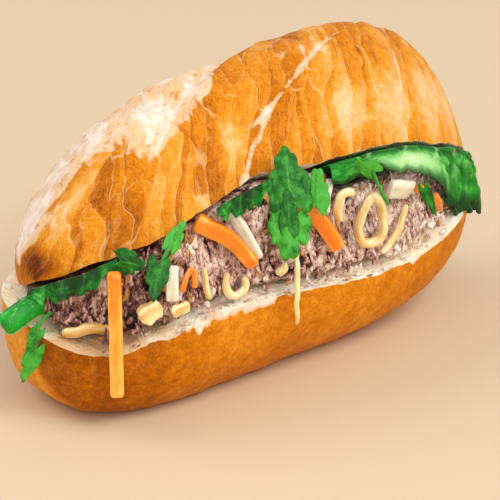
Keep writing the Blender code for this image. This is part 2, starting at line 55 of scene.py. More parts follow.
# The roll, as in the part's source
BASE_TIPS = (-92 * MM, 98 * MM)
LID_TIPS = (-86 * MM, 102 * MM)
HALF_DEPTH = 40 * MM
HINGE_Y = 32 * MM
HINGE_HEIGHT = 38 * MM
UNDERSIDE_CUT = 4 * MM
PLAN_POWER = 2.6
BASE_LEFT_PLAN = 3.1
SECTION_POWER = 2.3
BASE_LEFT_POWER = 3.0
CUT_LUMPS = (9 * MM, 0.7 * MM)          # size and height of the unevenness of the cut faces
LID_OVERHANG = 9 * MM
LID_BOW = 10 * MM
LID_TILT = math.radians(32)

# Heights along the roll, as (x, height) in mm
BASE_RIM_HEIGHT = (
    (-92, 25), (-80, 25), (-68, 29), (-50, 33), (-30, 36), (0, 33), (20, 31), (50, 30), (80, 34), (98, 39))
LID_RIM_DROP = ((-86, 8), (-72, 9), (-58, 9), (-40, 5), (-17, 0), (5, 2), (50, 2), (75, 4), (102, 5))
LID_HEIGHT = ((-86, 36), (-60, 40), (-20, 44), (20, 47), (60, 54), (85, 59), (102, 60))
# Slashes: (x at the front rim in mm, mm per degree round the lid, half width and depth in mm, first and
# last degree)
SLASHES = (
    (-90, 1.24, 7.5, 2.2, 8, 150),
    (-45, 1.58, 5.0, 1.8, -5, 150),
    (66, 0.16, 4.5, 1.3, 30, 130),
)

# The heap of meat, as in the part's source
HEAP_TIPS = (-88 * MM, 90 * MM)
HEAP_DEPTH = 37 * MM
HEAP_LEAN = 6 * MM
HEAP_BACK = 26 * MM
HEAP_POWER = 6
HEAP_CLEARANCE = 1.2 * MM
SKIRT = 2.2 * MM                        # how far crumbled meat at its foot spreads over the rim
SKIRT_LEFT = 3.2 * MM                   # and how much further at the left end
SKIRT_TOP = 0.34                        # share of the heap's height that it reaches up to
LID_ROOM = 0.5 * MM
LEAF_ROOM = 3.9 * MM
LEAF_START = 10 * MM                    # where the big leaf begins, with room for it behind it
HOLLOW = 5.0 * MM                       # how much lower the meat is under the leaf's front end
CORE_INSET = 1.9 * MM                   # how far the meat's core stays behind its pieces

# How finely the pieces are built
ROLL_RINGS = 280
CRUST_STEPS = 128
CRUMB_STEPS = 40
MEAT_RINGS = 400
MEAT_SIDES = 150
MEAT_CHUNKS = 420
MEAT_SHREDS = 420
MEAT_SEED = 5
SPILL_EVERY = 9                         # one of so many chunks lies spilled on the rim
FRIED_PLACES = ((-60 * MM, -44 * MM), (8 * MM, 22 * MM))        # where many grains are fried, from x to x
LEAF_THICKNESS = {"lettuce": 0.5 * MM, "coriander": 0.4 * MM}

# The crust's plates and the smaller shards in them, in mm along the roll and round it
PLATE_WIDTH, PLATE_HEIGHT = 8.5, 34
SHARD_WIDTH, SHARD_HEIGHT = 4.4, 19
COAT_ROUGHNESS = 0.18


def srgb(red, green, blue):
    """A colour as it looks on the screen, from 0 to 255, in the renderer's linear light."""
    def linear(level):
        level /= 255
        return level / 12.92 if level <= 0.04045 else ((level + 0.055) / 1.055) ** 2.4
    return (linear(red), linear(green), linear(blue), 1.0)


# Shapes under construction

class Shape:
    """Points, faces and named values of each point, built up piece by piece."""

    def __init__(self):
        self.points = []
        self.faces = []
        self.values = {}

    def add(self, points, faces, **values):
        first = len(self.points)
        self.points += points
        self.faces += [tuple(first + k for k in face) for face in faces]
        for name, value in values.items():
            given = value if isinstance(value, list) else [value] * len(points)
            self.values.setdefault(name, []).extend(given)

    def finish(self, name, material, thickness=0.0):
        """Makes the object, thickened to a leaf where a thickness is given."""
        mesh = bpy.data.meshes.new(name)
        mesh.from_pydata([tuple(point) for point in self.points], [], self.faces)
        for label, values in self.values.items():
            vector = isinstance(values[0], (tuple, Vector))
            layer = mesh.attributes.new(label, "FLOAT_VECTOR" if vector else "FLOAT", "POINT")
            if vector:
                layer.data.foreach_set("vector", [part for value in values for part in value])
            else:
                layer.data.foreach_set("value", values)
        mesh.update()
        mesh.shade_smooth()
        piece = bpy.data.objects.new(name, mesh)
        bpy.context.scene.collection.objects.link(piece)
        if thickness:
            step = piece.modifiers.new("Thickness", "SOLIDIFY")
            step.thickness = thickness
            step.offset = 0
            graph = bpy.context.evaluated_depsgraph_get()
            solid = bpy.data.meshes.new_from_object(piece.evaluated_get(graph))
            piece.modifiers.clear()
            piece.data = solid
        piece.data.materials.append(material)
        return piece


def grid_faces(rows, columns, closed):
    """Faces between rows of points, with each row closed into a ring or left open."""
    faces = []
    for r in range(rows - 1):
        here, beyond = r * columns, (r + 1) * columns
        for c in range(columns if closed else columns - 1):
            after = (c + 1) % columns
            faces.append((here + c, here + after, beyond + after, beyond + c))
    return faces


def dress(piece, node):
    """Puts a piece on the body in the place of its CAD node."""
    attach(piece, "root")
    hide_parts(node)
    return piece


# Materials

class Finish:
    """A material under construction. Most methods add shader nodes and return what they give."""

    def __init__(self, name, roughness=0.5, specular=0.5, scatter=0.0, radius=(1.0, 0.5, 0.3), depth=1.0 * MM,
                 coat=0.0):
        self.material = bpy.data.materials.new(name)
        self.material.use_nodes = True
        self.tree = self.material.node_tree
        self.shader = self.tree.nodes["Principled BSDF"]
        self.feed(self.shader, {
            "Roughness": roughness, "Specular IOR Level": specular, "Subsurface Weight": scatter,
            "Subsurface Radius": radius, "Subsurface Scale": depth, "Coat Weight": coat,
            "Coat Roughness": COAT_ROUGHNESS})

    def feed(self, node, inputs):
        """Sets inputs of a node to a value, or links them to what another node gives."""
        for name, value in inputs.items():
            if isinstance(value, bpy.types.NodeSocket):
                self.tree.links.new(value, node.inputs[name])
            else:
                node.inputs[name].default_value = value

    def add(self, kind, inputs, **settings):
        node = self.tree.nodes.new("ShaderNode" + kind)
        for name, value in settings.items():
            setattr(node, name, value)
        self.feed(node, inputs)
        return node.outputs

    def place(self):
        """The point itself, in metres."""
        return self.add("TexCoord", {})["Object"]

    def value(self, name):
        """A value that the shape gives each of its points."""
        return self.add("Attribute", {}, attribute_name=name)["Fac"]

    def vector(self, name):
        return self.add("Attribute", {}, attribute_name=name)["Vector"]

    def math(self, operation, a, b):
        return self.add("Math", {0: a, 1: b}, operation=operation)[0]

    def total(self, first, *others):
        for other in others:
            first = self.math("ADD", first, other)
        return first

    def times(self, first, *others):
        for other in others:
            first = self.math("MULTIPLY", first, other)
        return first

    def swing(self, value, weight):
        """A value from 0 to 1, centred on 0 and weighed."""
        return self.times(self.total(value, -0.5), weight)

    def vectors(self, operation, *values):
        return self.add("VectorMath", dict(enumerate(values)), operation=operation)[0]

    def scaled(self, vector, *scale):
        """A vector, stretched or squeezed along each axis."""
        return self.vectors("MULTIPLY", vector, scale)

    def warped(self, vector, scale, amount):
        """A vector pushed about by noise, so that what is laid on it isn't regular."""
        push = self.add("TexNoise", {"Vector": vector, "Scale": scale, "Detail": 2})["Color"]
        return self.vectors("MULTIPLY_ADD", self.vectors("SUBTRACT", push, (0.5,) * 3), (amount,) * 3, vector)

    def cloud(self, vector, scale, detail=3.0, roughness=0.55):
        """Smooth noise from 0 to 1."""
        inputs = {"Vector": vector, "Scale": scale, "Detail": detail, "Roughness": roughness}
        return self.add("TexNoise", inputs)["Fac"]

    def cells(self, vector, scale=1.0, feature="F1"):
        """A field of cells: distance in each, its middle as Position and a random Color of its own."""
        return self.add("TexVoronoi", {"Vector": vector, "Scale": scale}, feature=feature)

    def part(self, vector, index):
        """One axis of a vector, or one channel of a colour."""
        return self.add("SeparateXYZ", {0: vector})[index]

    def step(self, value, low, high):
        """0 up to low, 1 from high on and smooth between; low may be the larger."""
        falls = low > high
        inputs = {"Value": value, "From Min": min(low, high), "From Max": max(low, high),
                  "To Min": float(falls), "To Max": float(not falls)}
        return self.add("MapRange", inputs, interpolation_type="SMOOTHSTEP")["Result"]

    def mix(self, share, a, b):
        return self.add("Mix", {0: share, 6: a, 7: b}, data_type="RGBA")[2]

    def ramp(self, value, *stops):
        """A colour between stops, each given as its place and the colour's red, green and blue."""
        colour = self.add("ValToRGB", {0: value})["Color"]
        elements = colour.node.color_ramp.elements
        while len(elements) < len(stops):
            elements.new(0.5)
        for element, (place, *levels) in zip(elements, stops):
            element.position = place
            element.color = srgb(*levels)
        return colour

    def relief(self, *layers):
        """Bumps over one another, each as a height from 0 to 1 and what 1 stands for in metres."""
        inputs = {"Strength": 1.0}
        for height, depth in layers:
            inputs.update({"Height": height, "Distance": depth})
            inputs["Normal"] = self.add("Bump", inputs)["Normal"]
        return inputs["Normal"]

    def done(self, colour, normal=None, roughness=None):
        given = {"Base Color": colour, "Normal": normal, "Roughness": roughness}
        self.feed(self.shader, {name: value for name, value in given.items() if value is not None})
        return self.material


def crust_finish():
    """Golden crust in broad upright plates with partly pale edges and painted shade across each plate, floury
    on top and along the slashes, and darker at scorched spots and where shade is painted.
    """
    f = Finish("crust", specular=0.1, scatter=0.04, radius=(1.0, 0.4, 0.1), depth=1.2 * MM)
    spot = f.place()
    skin = f.vector("skin")
    split, pale, flour, scorch = (f.value(name) for name in ("split", "pale", "flour", "scorch"))

    # Plates and the smaller shards in them, each with its own tone, its edge and a slope across it that is
    # both a bump and painted shade
    bent = f.warped(f.warped(skin, 0.05, 12.0), 0.2, 2.0)
    plates = f.scaled(bent, 1 / PLATE_WIDTH, 1 / PLATE_HEIGHT, 1 / PLATE_HEIGHT)
    shards = f.scaled(bent, 1 / SHARD_WIDTH, 1 / SHARD_HEIGHT, 1 / SHARD_HEIGHT)
    plate = f.cells(plates)
    edge = f.cells(plates, feature="DISTANCE_TO_EDGE")["Distance"]
    fine_edge = f.cells(shards, feature="DISTANCE_TO_EDGE")["Distance"]
    slope = f.part(f.vectors("SUBTRACT", plates, plate["Position"]), 0)
    tone = f.part(plate["Color"], 0)
    fine_tone = f.part(f.cells(shards)["Color"], 0)

    # The baked colour, with painted shade across the plates and in some darker spots
    broad = f.cloud(spot, 38, 3)
    fibre = f.cloud(f.scaled(bent, 1.0, 0.2, 0.2), 2.4, 4, 0.7)
    grit = f.cloud(spot, 1300, 3, 0.6)
    # Painted shade: the slope darkens one side of each plate and lightens the other
    layered = f.total(f.swing(tone, 0.28), f.swing(fine_tone, 0.12), f.times(slope, 0.14))
    level = f.total(
        f.times(layered, f.total(f.times(split, 0.9), f.times(pale, -0.55), 0.1)),
        f.swing(broad, 0.36),
        f.swing(fibre, f.total(f.times(split, 0.3), 0.12)),
        f.swing(f.cloud(spot, 330, 3, 0.6), f.total(f.times(split, -0.1), 0.42)),
        f.swing(grit, 0.36),
        f.times(pale, 0.42),
        # Scorching, and painted shade on the lid's left plates and the base's left end
        f.times(scorch, -0.6),
        0.45)
    colour = f.ramp(level, (0.0, 96, 36, 0), (0.2, 156, 80, 0), (0.42, 206, 120, 4), (0.58, 228, 150, 38),
                    (0.76, 238, 184, 122), (1.0, 244, 210, 176))

    # Pale cracks along some of the edges
    share = f.times(f.step(f.cloud(skin, 0.12, 2), 0.4, 0.6), split)
    crack = f.times(f.step(edge, 0.035, 0.004), f.total(f.times(share, 0.75), f.times(split, 0.1)))
    fine_crack = f.times(f.step(fine_edge, 0.04, 0.006), share, 0.3)
    colour = f.mix(f.times(f.math("MAXIMUM", crack, fine_crack), 0.5), colour, srgb(246, 204, 136))

    # Flour: thin and beige at first, then thick and white, with freckles of crust in it
    patches = f.cloud(f.scaled(bent, 1.0, 0.45, 0.45), 0.2, 4, 0.65)
    dusting = f.total(flour, f.total(f.swing(patches, 1.1), f.swing(tone, 0.35), f.swing(fine_tone, 0.25)))
    thin = f.step(dusting, 0.28, 0.5)
    beige = f.ramp(fibre, (0.3, 224, 180, 130), (0.7, 242, 214, 178))
    white = f.ramp(f.cloud(spot, 240, 3), (0.3, 222, 196, 172), (0.6, 242, 226, 214))
    freckle = f.step(f.cloud(spot, 230, 3, 0.6), 0.6, 0.68)
    colour = f.mix(f.times(thin, 0.85), colour, beige)
    colour = f.mix(f.step(dusting, 0.54, 0.96), colour, white)
    colour = f.mix(f.times(freckle, thin, 0.65), colour, srgb(196, 124, 62))
    normal = f.relief(
        (f.times(f.step(edge, 0.0, 0.12), split), 0.14 * MM),
        (f.times(slope, -0.5, split), 0.35 * MM),
        (f.cloud(spot, 420, 4, 0.6), 0.35 * MM),
        (grit, 0.12 * MM))
    return f.done(colour, normal, f.total(f.times(thin, 0.3), f.times(broad, 0.15), 0.42))


def crumb_finish():
    """White crumb full of small pores, with painted shade in the pores and away from the rim, and browner
    towards the front of its left end.
    """
    f = Finish("crumb", roughness=0.85, specular=0.15, scatter=0.45, radius=(1.0, 0.75, 0.5), depth=1.8 * MM)
    spot = f.warped(f.place(), 400, 1.2 * MM)
    pores = f.step(f.cells(spot, 380)["Distance"], 0.05, 0.5)
    small = f.step(f.cells(spot, 1000)["Distance"], 0.1, 0.6)
    patch = f.step(f.cloud(spot, 160, 3), 0.42, 0.62)
    colour = f.ramp(f.cloud(spot, 130, 4), (0.3, 252, 232, 196), (0.5, 255, 244, 220), (0.72, 255, 251, 244))
    # Painted shade in the pores: their middles are tinted darker
    hollow = f.times(f.math("SUBTRACT", 1.0, pores), patch)
    colour = f.mix(f.times(hollow, 0.25), colour, srgb(246, 220, 186))
    along_roll = f.part(f.place(), 0)
    # Painted shade: the crumb away from the rim, under the filling, is tinted warm and darker, less so over
    # the middle span
    inner = f.step(f.total(f.value("rim"), f.times(f.cloud(spot, 220, 3), 0.5)), 1.0, 0.55)
    less_shade_span = f.times(f.step(along_roll, -68 * MM, -50 * MM), f.step(along_roll, 12 * MM, -12 * MM))
    colour = f.mix(f.times(inner, f.total(f.times(less_shade_span, -0.22), 0.3)), colour, srgb(240, 196, 142))
    # Browner towards the front of the left end
    front = f.step(f.part(f.place(), 1), -4 * MM, -16 * MM)
    left_browning = f.times(f.total(f.times(along_roll, -12.0), f.times(f.cloud(spot, 110, 3), 1.2), -1.0), front)
    colour = f.mix(f.times(f.step(left_browning, 0.0, 0.5), 0.75), colour, srgb(212, 160, 100))
    return f.done(colour, f.relief((f.times(pores, patch), 0.45 * MM), (small, 0.15 * MM)))


def meat_finish():
    """Moist minced pork: fine upright threads, brown to pink with pale fat, with painted shade in the
    crevices and towards the left end.
    """
    f = Finish("meat", specular=0.4, scatter=0.2, radius=(1.0, 0.5, 0.35), depth=0.8 * MM)
    grain = f.vector("grain")
    streak = f.cloud(f.scaled(f.warped(grain, 260, 2.2 * MM), 1.0, 1.0, 0.3), 1250, 4, 0.7)
    blotch = f.cloud(grain, 300, 4, 0.65)
    # The tone holds painted shade: darker in the crevices and towards the left end
    level = f.total(f.value("tone"), f.swing(streak, 1.5), f.swing(blotch, 1.2))
    colour = f.ramp(level, (0.0, 40, 14, 16), (0.2, 96, 48, 46), (0.38, 160, 106, 92), (0.56, 216, 174, 156),
                    (0.76, 244, 218, 202), (1.0, 254, 242, 230))
    fried = f.ramp(streak, (0.3, 176, 84, 20), (0.7, 240, 180, 84))
    colour = f.mix(f.times(f.value("fried"), 0.85), colour, fried)
    normal = f.relief((streak, 0.7 * MM), (blotch, 0.5 * MM))
    return f.done(colour, normal, f.total(f.times(blotch, 0.4), 0.28))


def stick_finish(name, dark, middle, light, scatter):
    """A wet cut vegetable with fine fibres along it, paler along its edges."""
    f = Finish(name, scatter=scatter, radius=(1.0, 0.5, 0.25), depth=2.0 * MM, coat=0.25)
    grain = f.vector("grain")
    fibres = f.cloud(f.scaled(grain, 1.0, 1.0, 0.12), 900, 3, 0.6)
    cloudy = f.cloud(grain, 120, 2)
    level = f.total(f.times(fibres, 0.9), f.times(cloudy, 0.7), f.times(f.value("edge"), 0.35), -0.4)
    colour = f.ramp(level, (0.15, *dark), (0.5, *middle), (0.95, *light))
    normal = f.relief((fibres, 0.12 * MM), (f.cloud(grain, 500, 3), 0.15 * MM))
    return f.done(colour, normal, f.total(f.times(cloudy, 0.3), 0.14))


def cucumber_finish():
    """Cucumber: green skin with pale flecks, a light rim under it, and watery flesh."""
    f = Finish("cucumber", roughness=0.34, specular=0.35, scatter=0.2, radius=(0.5, 1.0, 0.4), depth=2.0 * MM,
               coat=0.12)
    grain = f.vector("grain")
    flecks = f.step(f.cloud(f.scaled(grain, 1.0, 1.0, 0.5), 620, 4, 0.65), 0.54, 0.7)
    skin = f.ramp(f.cloud(f.scaled(grain, 1.0, 1.0, 0.2), 240, 3), (0.3, 2, 98, 14), (0.55, 6, 154, 30),
                  (0.8, 34, 184, 54))
    skin = f.mix(f.times(flecks, 0.85), skin, srgb(134, 224, 118))
    flesh = f.ramp(f.cloud(grain, 260, 3), (0.3, 214, 226, 178), (0.7, 246, 248, 226))
    share = f.total(f.value("flesh"), f.times(f.cloud(grain, 500, 2), 0.16), -0.08)
    inside = f.mix(f.step(share, 0.86, 0.98), srgb(150, 212, 110), flesh)
    colour = f.mix(f.step(share, 0.8, 0.88), skin, inside)
    return f.done(colour, f.relief((f.cloud(grain, 380, 3), 0.3 * MM)))


def leaf_finish(name, dark, middle, light, rib, scatter):
    """A fresh leaf: mottled green, with its veins and rib in the rib's colour."""
    f = Finish(name, roughness=0.42, specular=0.32, scatter=scatter, radius=(0.4, 1.0, 0.3), depth=0.8 * MM)
    grain = f.vector("grain")
    veins = f.value("vein")
    tone = f.total(f.cloud(grain, 260, 3), f.times(f.cloud(grain, 1400, 2), 0.25), f.value("light"), -0.1)
    colour = f.ramp(tone, (0.2, *dark), (0.5, *middle), (0.85, *light))
    colour = f.mix(veins, colour, srgb(*rib))
    return f.done(colour, f.relief((f.cloud(grain, 700, 3), 0.35 * MM), (veins, 0.15 * MM)))


# The roll

def along(knots, x):
    """Reads a smooth curve through (distance, value) knots in mm, at x metres, in metres."""
    x = max(knots[0][0], min(knots[-1][0], x / MM))
    for k in range(len(knots) - 1):
        if x <= knots[k + 1][0]:
            break
    before, after = max(k - 1, 0), min(k + 2, len(knots) - 1)

    def slope(left, right):
        return (knots[right][1] - knots[left][1]) / (knots[right][0] - knots[left][0])

    span = knots[k + 1][0] - knots[k][0]
    t = (x - knots[k][0]) / span
    start, end = slope(before, k + 1) * span, slope(k, after) * span
    value = ((2 * t**3 - 3 * t**2 + 1) * knots[k][1] + (t**3 - 2 * t**2 + t) * start
             + (3 * t**2 - 2 * t**3) * knots[k + 1][1] + (t**3 - t**2) * end)
    return value * MM


def end_profile(x, tips, power):
    """How full the roll still is at x: 1 in its middle and 0 at its tips."""
    tip = tips[0] if x < 0 else tips[1]
    return max(0.0, 1 - abs(x / tip) ** power) ** (1 / power)


def half_width(x, tips):
    power = BASE_LEFT_PLAN if tips == BASE_TIPS and x < 0 else PLAN_POWER
    return HALF_DEPTH * end_profile(x, tips, power)


def lumps(x, y, z, size, height):
    """Uneven relief of about this size and height."""
    return noise.noise(Vector((x, y, z)) / size) * height


def rough(x, y, z):
    """Noise between about -1 and 1."""
    return noise.noise(Vector((x, y, z)))


def clamp(value):
    return min(1.0, max(0.0, value))


def smooth(value, low, high):
    """0 at low, 1 at high and smooth between; low may be the larger."""
    t = clamp((value - low) / (high - low))
    return t * t * (3 - 2 * t)


def rounded(wave, power):
    """A sine or cosine, filled out towards a square section by a power over 2."""
    return math.copysign(abs(wave) ** (2 / power), wave)


def stations(tips, count, closest):
    """Places along the roll from tip to tip, closer together towards its tips."""
    places = []
    for k in range(count + 1):
        pole = -math.cos(math.pi * k / count)
        tip = tips[1] if pole > 0 else -tips[0]
        places.append(tip * math.copysign(min(abs(pole), closest) ** 0.9, pole))
    return places


def frontness(y):
    """0 at the hinge and 1 at the front rim."""
    return clamp((HINGE_Y - y) / (HINGE_Y + HALF_DEPTH))


def base_cut(x, y):
    """Height of the base's cut face."""
    drop = HINGE_HEIGHT - along(BASE_RIM_HEIGHT, x)
    return HINGE_HEIGHT - drop * frontness(y) + lumps(x, y, 0, *CUT_LUMPS)


def lid_cut(x, y):
    """Height of the lid's cut face above the hinge line, before the lid is lifted."""
    return -along(LID_RIM_DROP, x) * frontness(y) + lumps(x, y, 7 * MM, *CUT_LUMPS)


def lift_lid(x, y, z):
    """Turns a point of the closed lid about the hinge line to where it stands open."""
    back = y - HINGE_Y
    bow = LID_BOW * abs(x / LID_TIPS[1]) ** 2.5
    return Vector((x,
                   HINGE_Y + back * math.cos(LID_TILT) + z * math.sin(LID_TILT),
                   HINGE_HEIGHT - back * math.sin(LID_TILT) + z * math.cos(LID_TILT) - bow))


def base_point(x, angle):
    """A point of the base's crust: angle 0 is the front rim, 90 degrees the underside, 180 the back rim."""
    power = SECTION_POWER + (BASE_LEFT_POWER - SECTION_POWER) * clamp(-x / (60 * MM))
    y = -half_width(x, BASE_TIPS) * rounded(math.cos(angle), power)
    rim = base_cut(x, y)
    depth = (rim + UNDERSIDE_CUT) * end_profile(x, BASE_TIPS, 4.5 if x < 0 else 2.4)
    z = rim - depth * math.sin(angle) ** (2 / power)
    return Vector((x, y, max(z, 0.0)))


def slash_relief(x, angle):
    """How far the lid's crust stands out at a slash: below 0 in it, above 0 at the lip on its right."""
    degrees = math.degrees(angle)
    relief = 0.0
    for start, slope, half, depth, first, last in SLASHES:
        inside = clamp((degrees - first) / 12) * clamp((last - degrees) / 25)
        offset = (x / MM - start - slope * degrees) / half
        relief -= depth * inside * (math.exp(-offset ** 2) - 0.5 * math.exp(-(1.3 * (offset - 1.8)) ** 2))
    return relief * MM


def lid_point(x, angle):
    """A point of the lid's crust: angle 0 is the front rim, 90 degrees the ridge, 180 the back rim."""
    fullness = end_profile(x, LID_TIPS, 2.2 if x < 0 else 3.6)
    raised = slash_relief(x, angle) + lumps(x, angle * 30 * MM, 0, 14 * MM, 0.9 * MM)
    relief = raised * math.sin(angle) * fullness
    y = -half_width(x, LID_TIPS) * rounded(math.cos(angle), SECTION_POWER)
    rim = lid_cut(x, y)
    rise = math.sin(angle) ** (2 / SECTION_POWER)
    z = rim + (along(LID_HEIGHT, x) - rim) * fullness * rise + relief * math.sin(angle)
    overhang = LID_OVERHANG * max(0.0, x / LID_TIPS[1]) ** 2 * fullness * rise
    return lift_lid(x + overhang, y - relief * math.cos(angle), z)


# How far up the lid its flour begins, as (x in mm, degrees round the crust)
FLOUR_EDGE = (
    (-86, 150), (-84, 118), (-81, 92), (-76, 78), (-71, 68), (-64, 68), (-58, 64), (-54, 44), (-50, 33),
    (-44, 32), (-36, 34), (-26, 36), (-16, 43), (-5, 60), (8, 78), (30, 92), (102, 108))

# Floury, pale and scorched spots, some of the scorched ones painted shade: (x in mm, degrees round the crust,
# half length in mm, half height in degrees, share)
FLOUR_SPOTS = (
    (-79, 106, 11, 38, 0.95),
    (-60, 98, 22, 24, 0.6),
    (-38, 60, 9, 22, 0.3),
    (-12, 84, 14, 22, 0.35),
    (29, 54, 13, 8, 0.42),
)
PALE_SPOTS = (
    (32, 14, 14, 13, 0.75),
    (54, 12, 16, 15, 0.75),
    (78, 14, 20, 20, 0.7),
    (-74, 56, 8, 16, 0.6),
    (-20, 15, 6, 12, 0.6),
    (-72, 55, 9, 13, 0.8),
    (96, 40, 8, 40, 0.35),
)
SCORCHED_AND_SHADED_SPOTS = (
    (-85.5, 72, 1.7, 60, 0.85),
    # Painted shade: the lid's left plates, darker because the light falls from the right
    (-64, 14, 18, 22, 0.16),
    (-52, 6, 6, 8, 0.25),
    (12, 24, 10, 14, 0.2),
    (62, 46, 16, 16, 0.12),
)

# Floury lines: (x at the front rim in mm, mm per degree, half width in mm, first and last degree, share)
FLOUR_LINES = (
    (-88, 1.22, 4.6, 30, 120, 0.55),
    (-22, 0.90, 2.6, -5, 24, 0.75),
    (-37, 1.48, 3.2, 18, 44, 0.75),
    (-42, 1.55, 3.0, 40, 100, 0.6),
    (55, 0.36, 1.2, 16, 76, 0.6),
)
PLATE_LEAN = 0.42                       # mm along the roll per degree round it that the crust's plates lean
ARC = 0.8                               # mm round the crust per degree


def spots(places, x, degrees):
    """The strongest of several soft spots at a point of the crust."""
    best = 0.0
    for spot_x, spot_degrees, length, height, share in places:
        reach = ((x / MM - spot_x) / length) ** 2 + ((degrees - spot_degrees) / height) ** 2
        best = max(best, share * math.exp(-reach))
    return best


def lid_values(x, angle):
    """Flour, paleness, scorching with some painted shade, and cracking of the lid's crust, and where it lies
    in the skin of plates.
    """
    degrees = math.degrees(angle)
    edge = along(FLOUR_EDGE, x) / MM
    flour = 0.5 * smooth(degrees, edge - 3, edge + 5) + spots(FLOUR_SPOTS, x, degrees)
    flour *= 1 - 0.8 * smooth(degrees, 122, 158)
    scorch = spots(SCORCHED_AND_SHADED_SPOTS, x, degrees)
    for start, slope, half, first, last, share in FLOUR_LINES:
        inside = smooth(degrees, first - 6, first + 4) * smooth(degrees, last + 10, last - 6)
        offset = (x / MM - start - slope * degrees) / half
        flour = max(flour, flour * 0.5 + share * inside * math.exp(-offset ** 2))
    girth = end_profile(x, LID_TIPS, 2.2)
    return dict(flour=flour - 1.6 * scorch, pale=spots(PALE_SPOTS, x, degrees), scorch=scorch, split=1.0,
                skin=(x / MM - PLATE_LEAN * degrees * girth, ARC * degrees * girth, 0.0))


def base_values(x, angle):
    """The base is browner than the lid, with painted shade darkening it further towards its left end, and
    white where its rim is torn.
    """
    degrees = math.degrees(angle)
    below = smooth(degrees, 50, 85)
    # A little browner all along, then painted shade darkening it towards its left end
    scorch = 0.06 + 0.3 * smooth(x, -30 * MM, -85 * MM)
    torn = (3.0 * math.exp(-((x / MM + 30) / 24) ** 2) + 1.0 * math.exp(-((x / MM - 66) / 16) ** 2) - 2.2
            + 3.5 * rough(x / (9 * MM), 0, 11) + 1.6 * rough(x / (2.4 * MM), 0, 2))
    return dict(flour=1.6 * smooth(degrees, torn + 2.5, torn - 1.0) - 0.3, pale=0.25 * below,
                scorch=scorch * (1 - below), split=0.06,
                skin=(x / MM, ARC * degrees * end_profile(x, BASE_TIPS, 2.6), 60.0))


def crust_relief(point):
    """Blisters and wrinkles of the crust."""
    return (noise.noise(point / (9 * MM)) * 0.35 + noise.noise(point / (3.4 * MM)) * 0.22
            + noise.noise(point / (1.7 * MM)) * 0.10) * MM


def crumb_relief(point):
    """Torn crumb: uneven, with pits where larger bubbles were cut."""
    near = noise.voronoi(point / (3.6 * MM))[0][0]
    return (noise.noise(point / (4 * MM)) * 0.4 - max(0.0, 0.3 - near) * 1.2) * MM


def rim_relief(x, side):
    """The torn front rim, uneven along the roll."""
    return (rough(x / (7 * MM), side, 0) * 0.7 + rough(x / (2.6 * MM), side, 3) * 0.45) * MM


def half_roll(shape, tips, crust_point, cut_point, values, side):
    """One half of the roll: its crust and its cut face, as two grids that share their rims."""
    places = stations(tips, ROLL_RINGS, 1 - 1e-9)
    angles = [math.pi * c / CRUST_STEPS for c in range(CRUST_STEPS + 1)]
    rows = [[crust_point(x, angle) for angle in angles] for x in places]
    points, made = [], []
    for r, x in enumerate(places):
        ragged = rim_relief(x, side)
        for c, angle in enumerate(angles):
            point = rows[r][c]
            across = rows[r][min(c + 1, CRUST_STEPS)] - rows[r][max(c - 1, 0)]
            onward = rows[min(r + 1, ROLL_RINGS)][c] - rows[max(r - 1, 0)][c]
            normal = across.cross(onward).normalized() * side
            rim = smooth(min(c, CRUST_STEPS - c), 0, 3)
            relief = 0.0 if side < 0 and point.z < 0.5 * MM else crust_relief(point)
            moved = point + normal * relief * rim
            moved.z = max(moved.z + ragged * smooth(c, 6, 0), 0.0)
            points.append(moved)
            made.append(values(x, angle))
    faces = grid_faces(ROLL_RINGS + 1, CRUST_STEPS + 1, False)
    if side > 0:
        faces = [face[::-1] for face in faces]
    shape.add(points, faces, rim=0.0, **{name: [value[name] for value in made] for name in made[0]})
    points, rims = [], []
    for x in places:
        wide = half_width(x, tips)
        ragged = rim_relief(x, side)
        for c in range(CRUMB_STEPS + 1):
            across = -math.cos(math.pi * c / CRUMB_STEPS)
            point = cut_point(x, wide * across)
            edge = wide * (1 - abs(across))
            tip = min(x - tips[0], tips[1] - x)
            inner = smooth(edge, 0, 1.5 * MM)
            point.z -= crumb_relief(point) * inner * side
            point.z += ragged * smooth(across, -0.88, -1.0)
            points.append(point)
            rims.append(1 - smooth(min(edge, tip), 0, 6 * MM))
    faces = grid_faces(ROLL_RINGS + 1, CRUMB_STEPS + 1, False)
    if side < 0:
        faces = [face[::-1] for face in faces]
    shape.add(points, faces, rim=rims, flour=0.0, pale=0.0, scorch=0.0, split=0.0, skin=(0.0, 0.0, 0.0))


def make_roll():
    roll = Shape()
    half_roll(roll, BASE_TIPS, base_point, lambda x, y: Vector((x, y, base_cut(x, y))), base_values, -1)
    half_roll(roll, LID_TIPS, lid_point, lambda x, y: lift_lid(x, y, lid_cut(x, y)), lid_values, 1)
    piece = roll.finish("baked_roll", crust_finish())
    piece.data.materials.append(crumb_finish())
    indices = [0] * (ROLL_RINGS * CRUST_STEPS) + [1] * (ROLL_RINGS * CRUMB_STEPS)
    piece.data.polygons.foreach_set("material_index", indices * 2)
    dress(piece, "roll")


# The meat

def mouth_roof(x, y):
    """Height of the lid's cut face above the point (x, y)."""
    up = 0.0
    for _ in range(4):
        back = (y - HINGE_Y - up * math.sin(LID_TILT)) / math.cos(LID_TILT)
        up = lid_cut(x, HINGE_Y + back)
    return lift_lid(x, HINGE_Y + back, up).z


def heap_front(x, height):
    """How far forward the meat stands at x: height 0 at its foot and 1 under the lid."""
    lean = HEAP_LEAN + LEAF_ROOM * smooth(x, LEAF_START, LEAF_START + 6 * MM)
    return -(HEAP_DEPTH - lean * height) * end_profile(x, HEAP_TIPS, PLAN_POWER)


def skirt(x):
    """How far the foot of the meat spreads at x."""
    return (SKIRT + SKIRT_LEFT * smooth(x, -38 * MM, -72 * MM)) * end_profile(x, HEAP_TIPS, 6)


def heap_floor(x, y):
    return base_cut(x, y) + HEAP_CLEARANCE


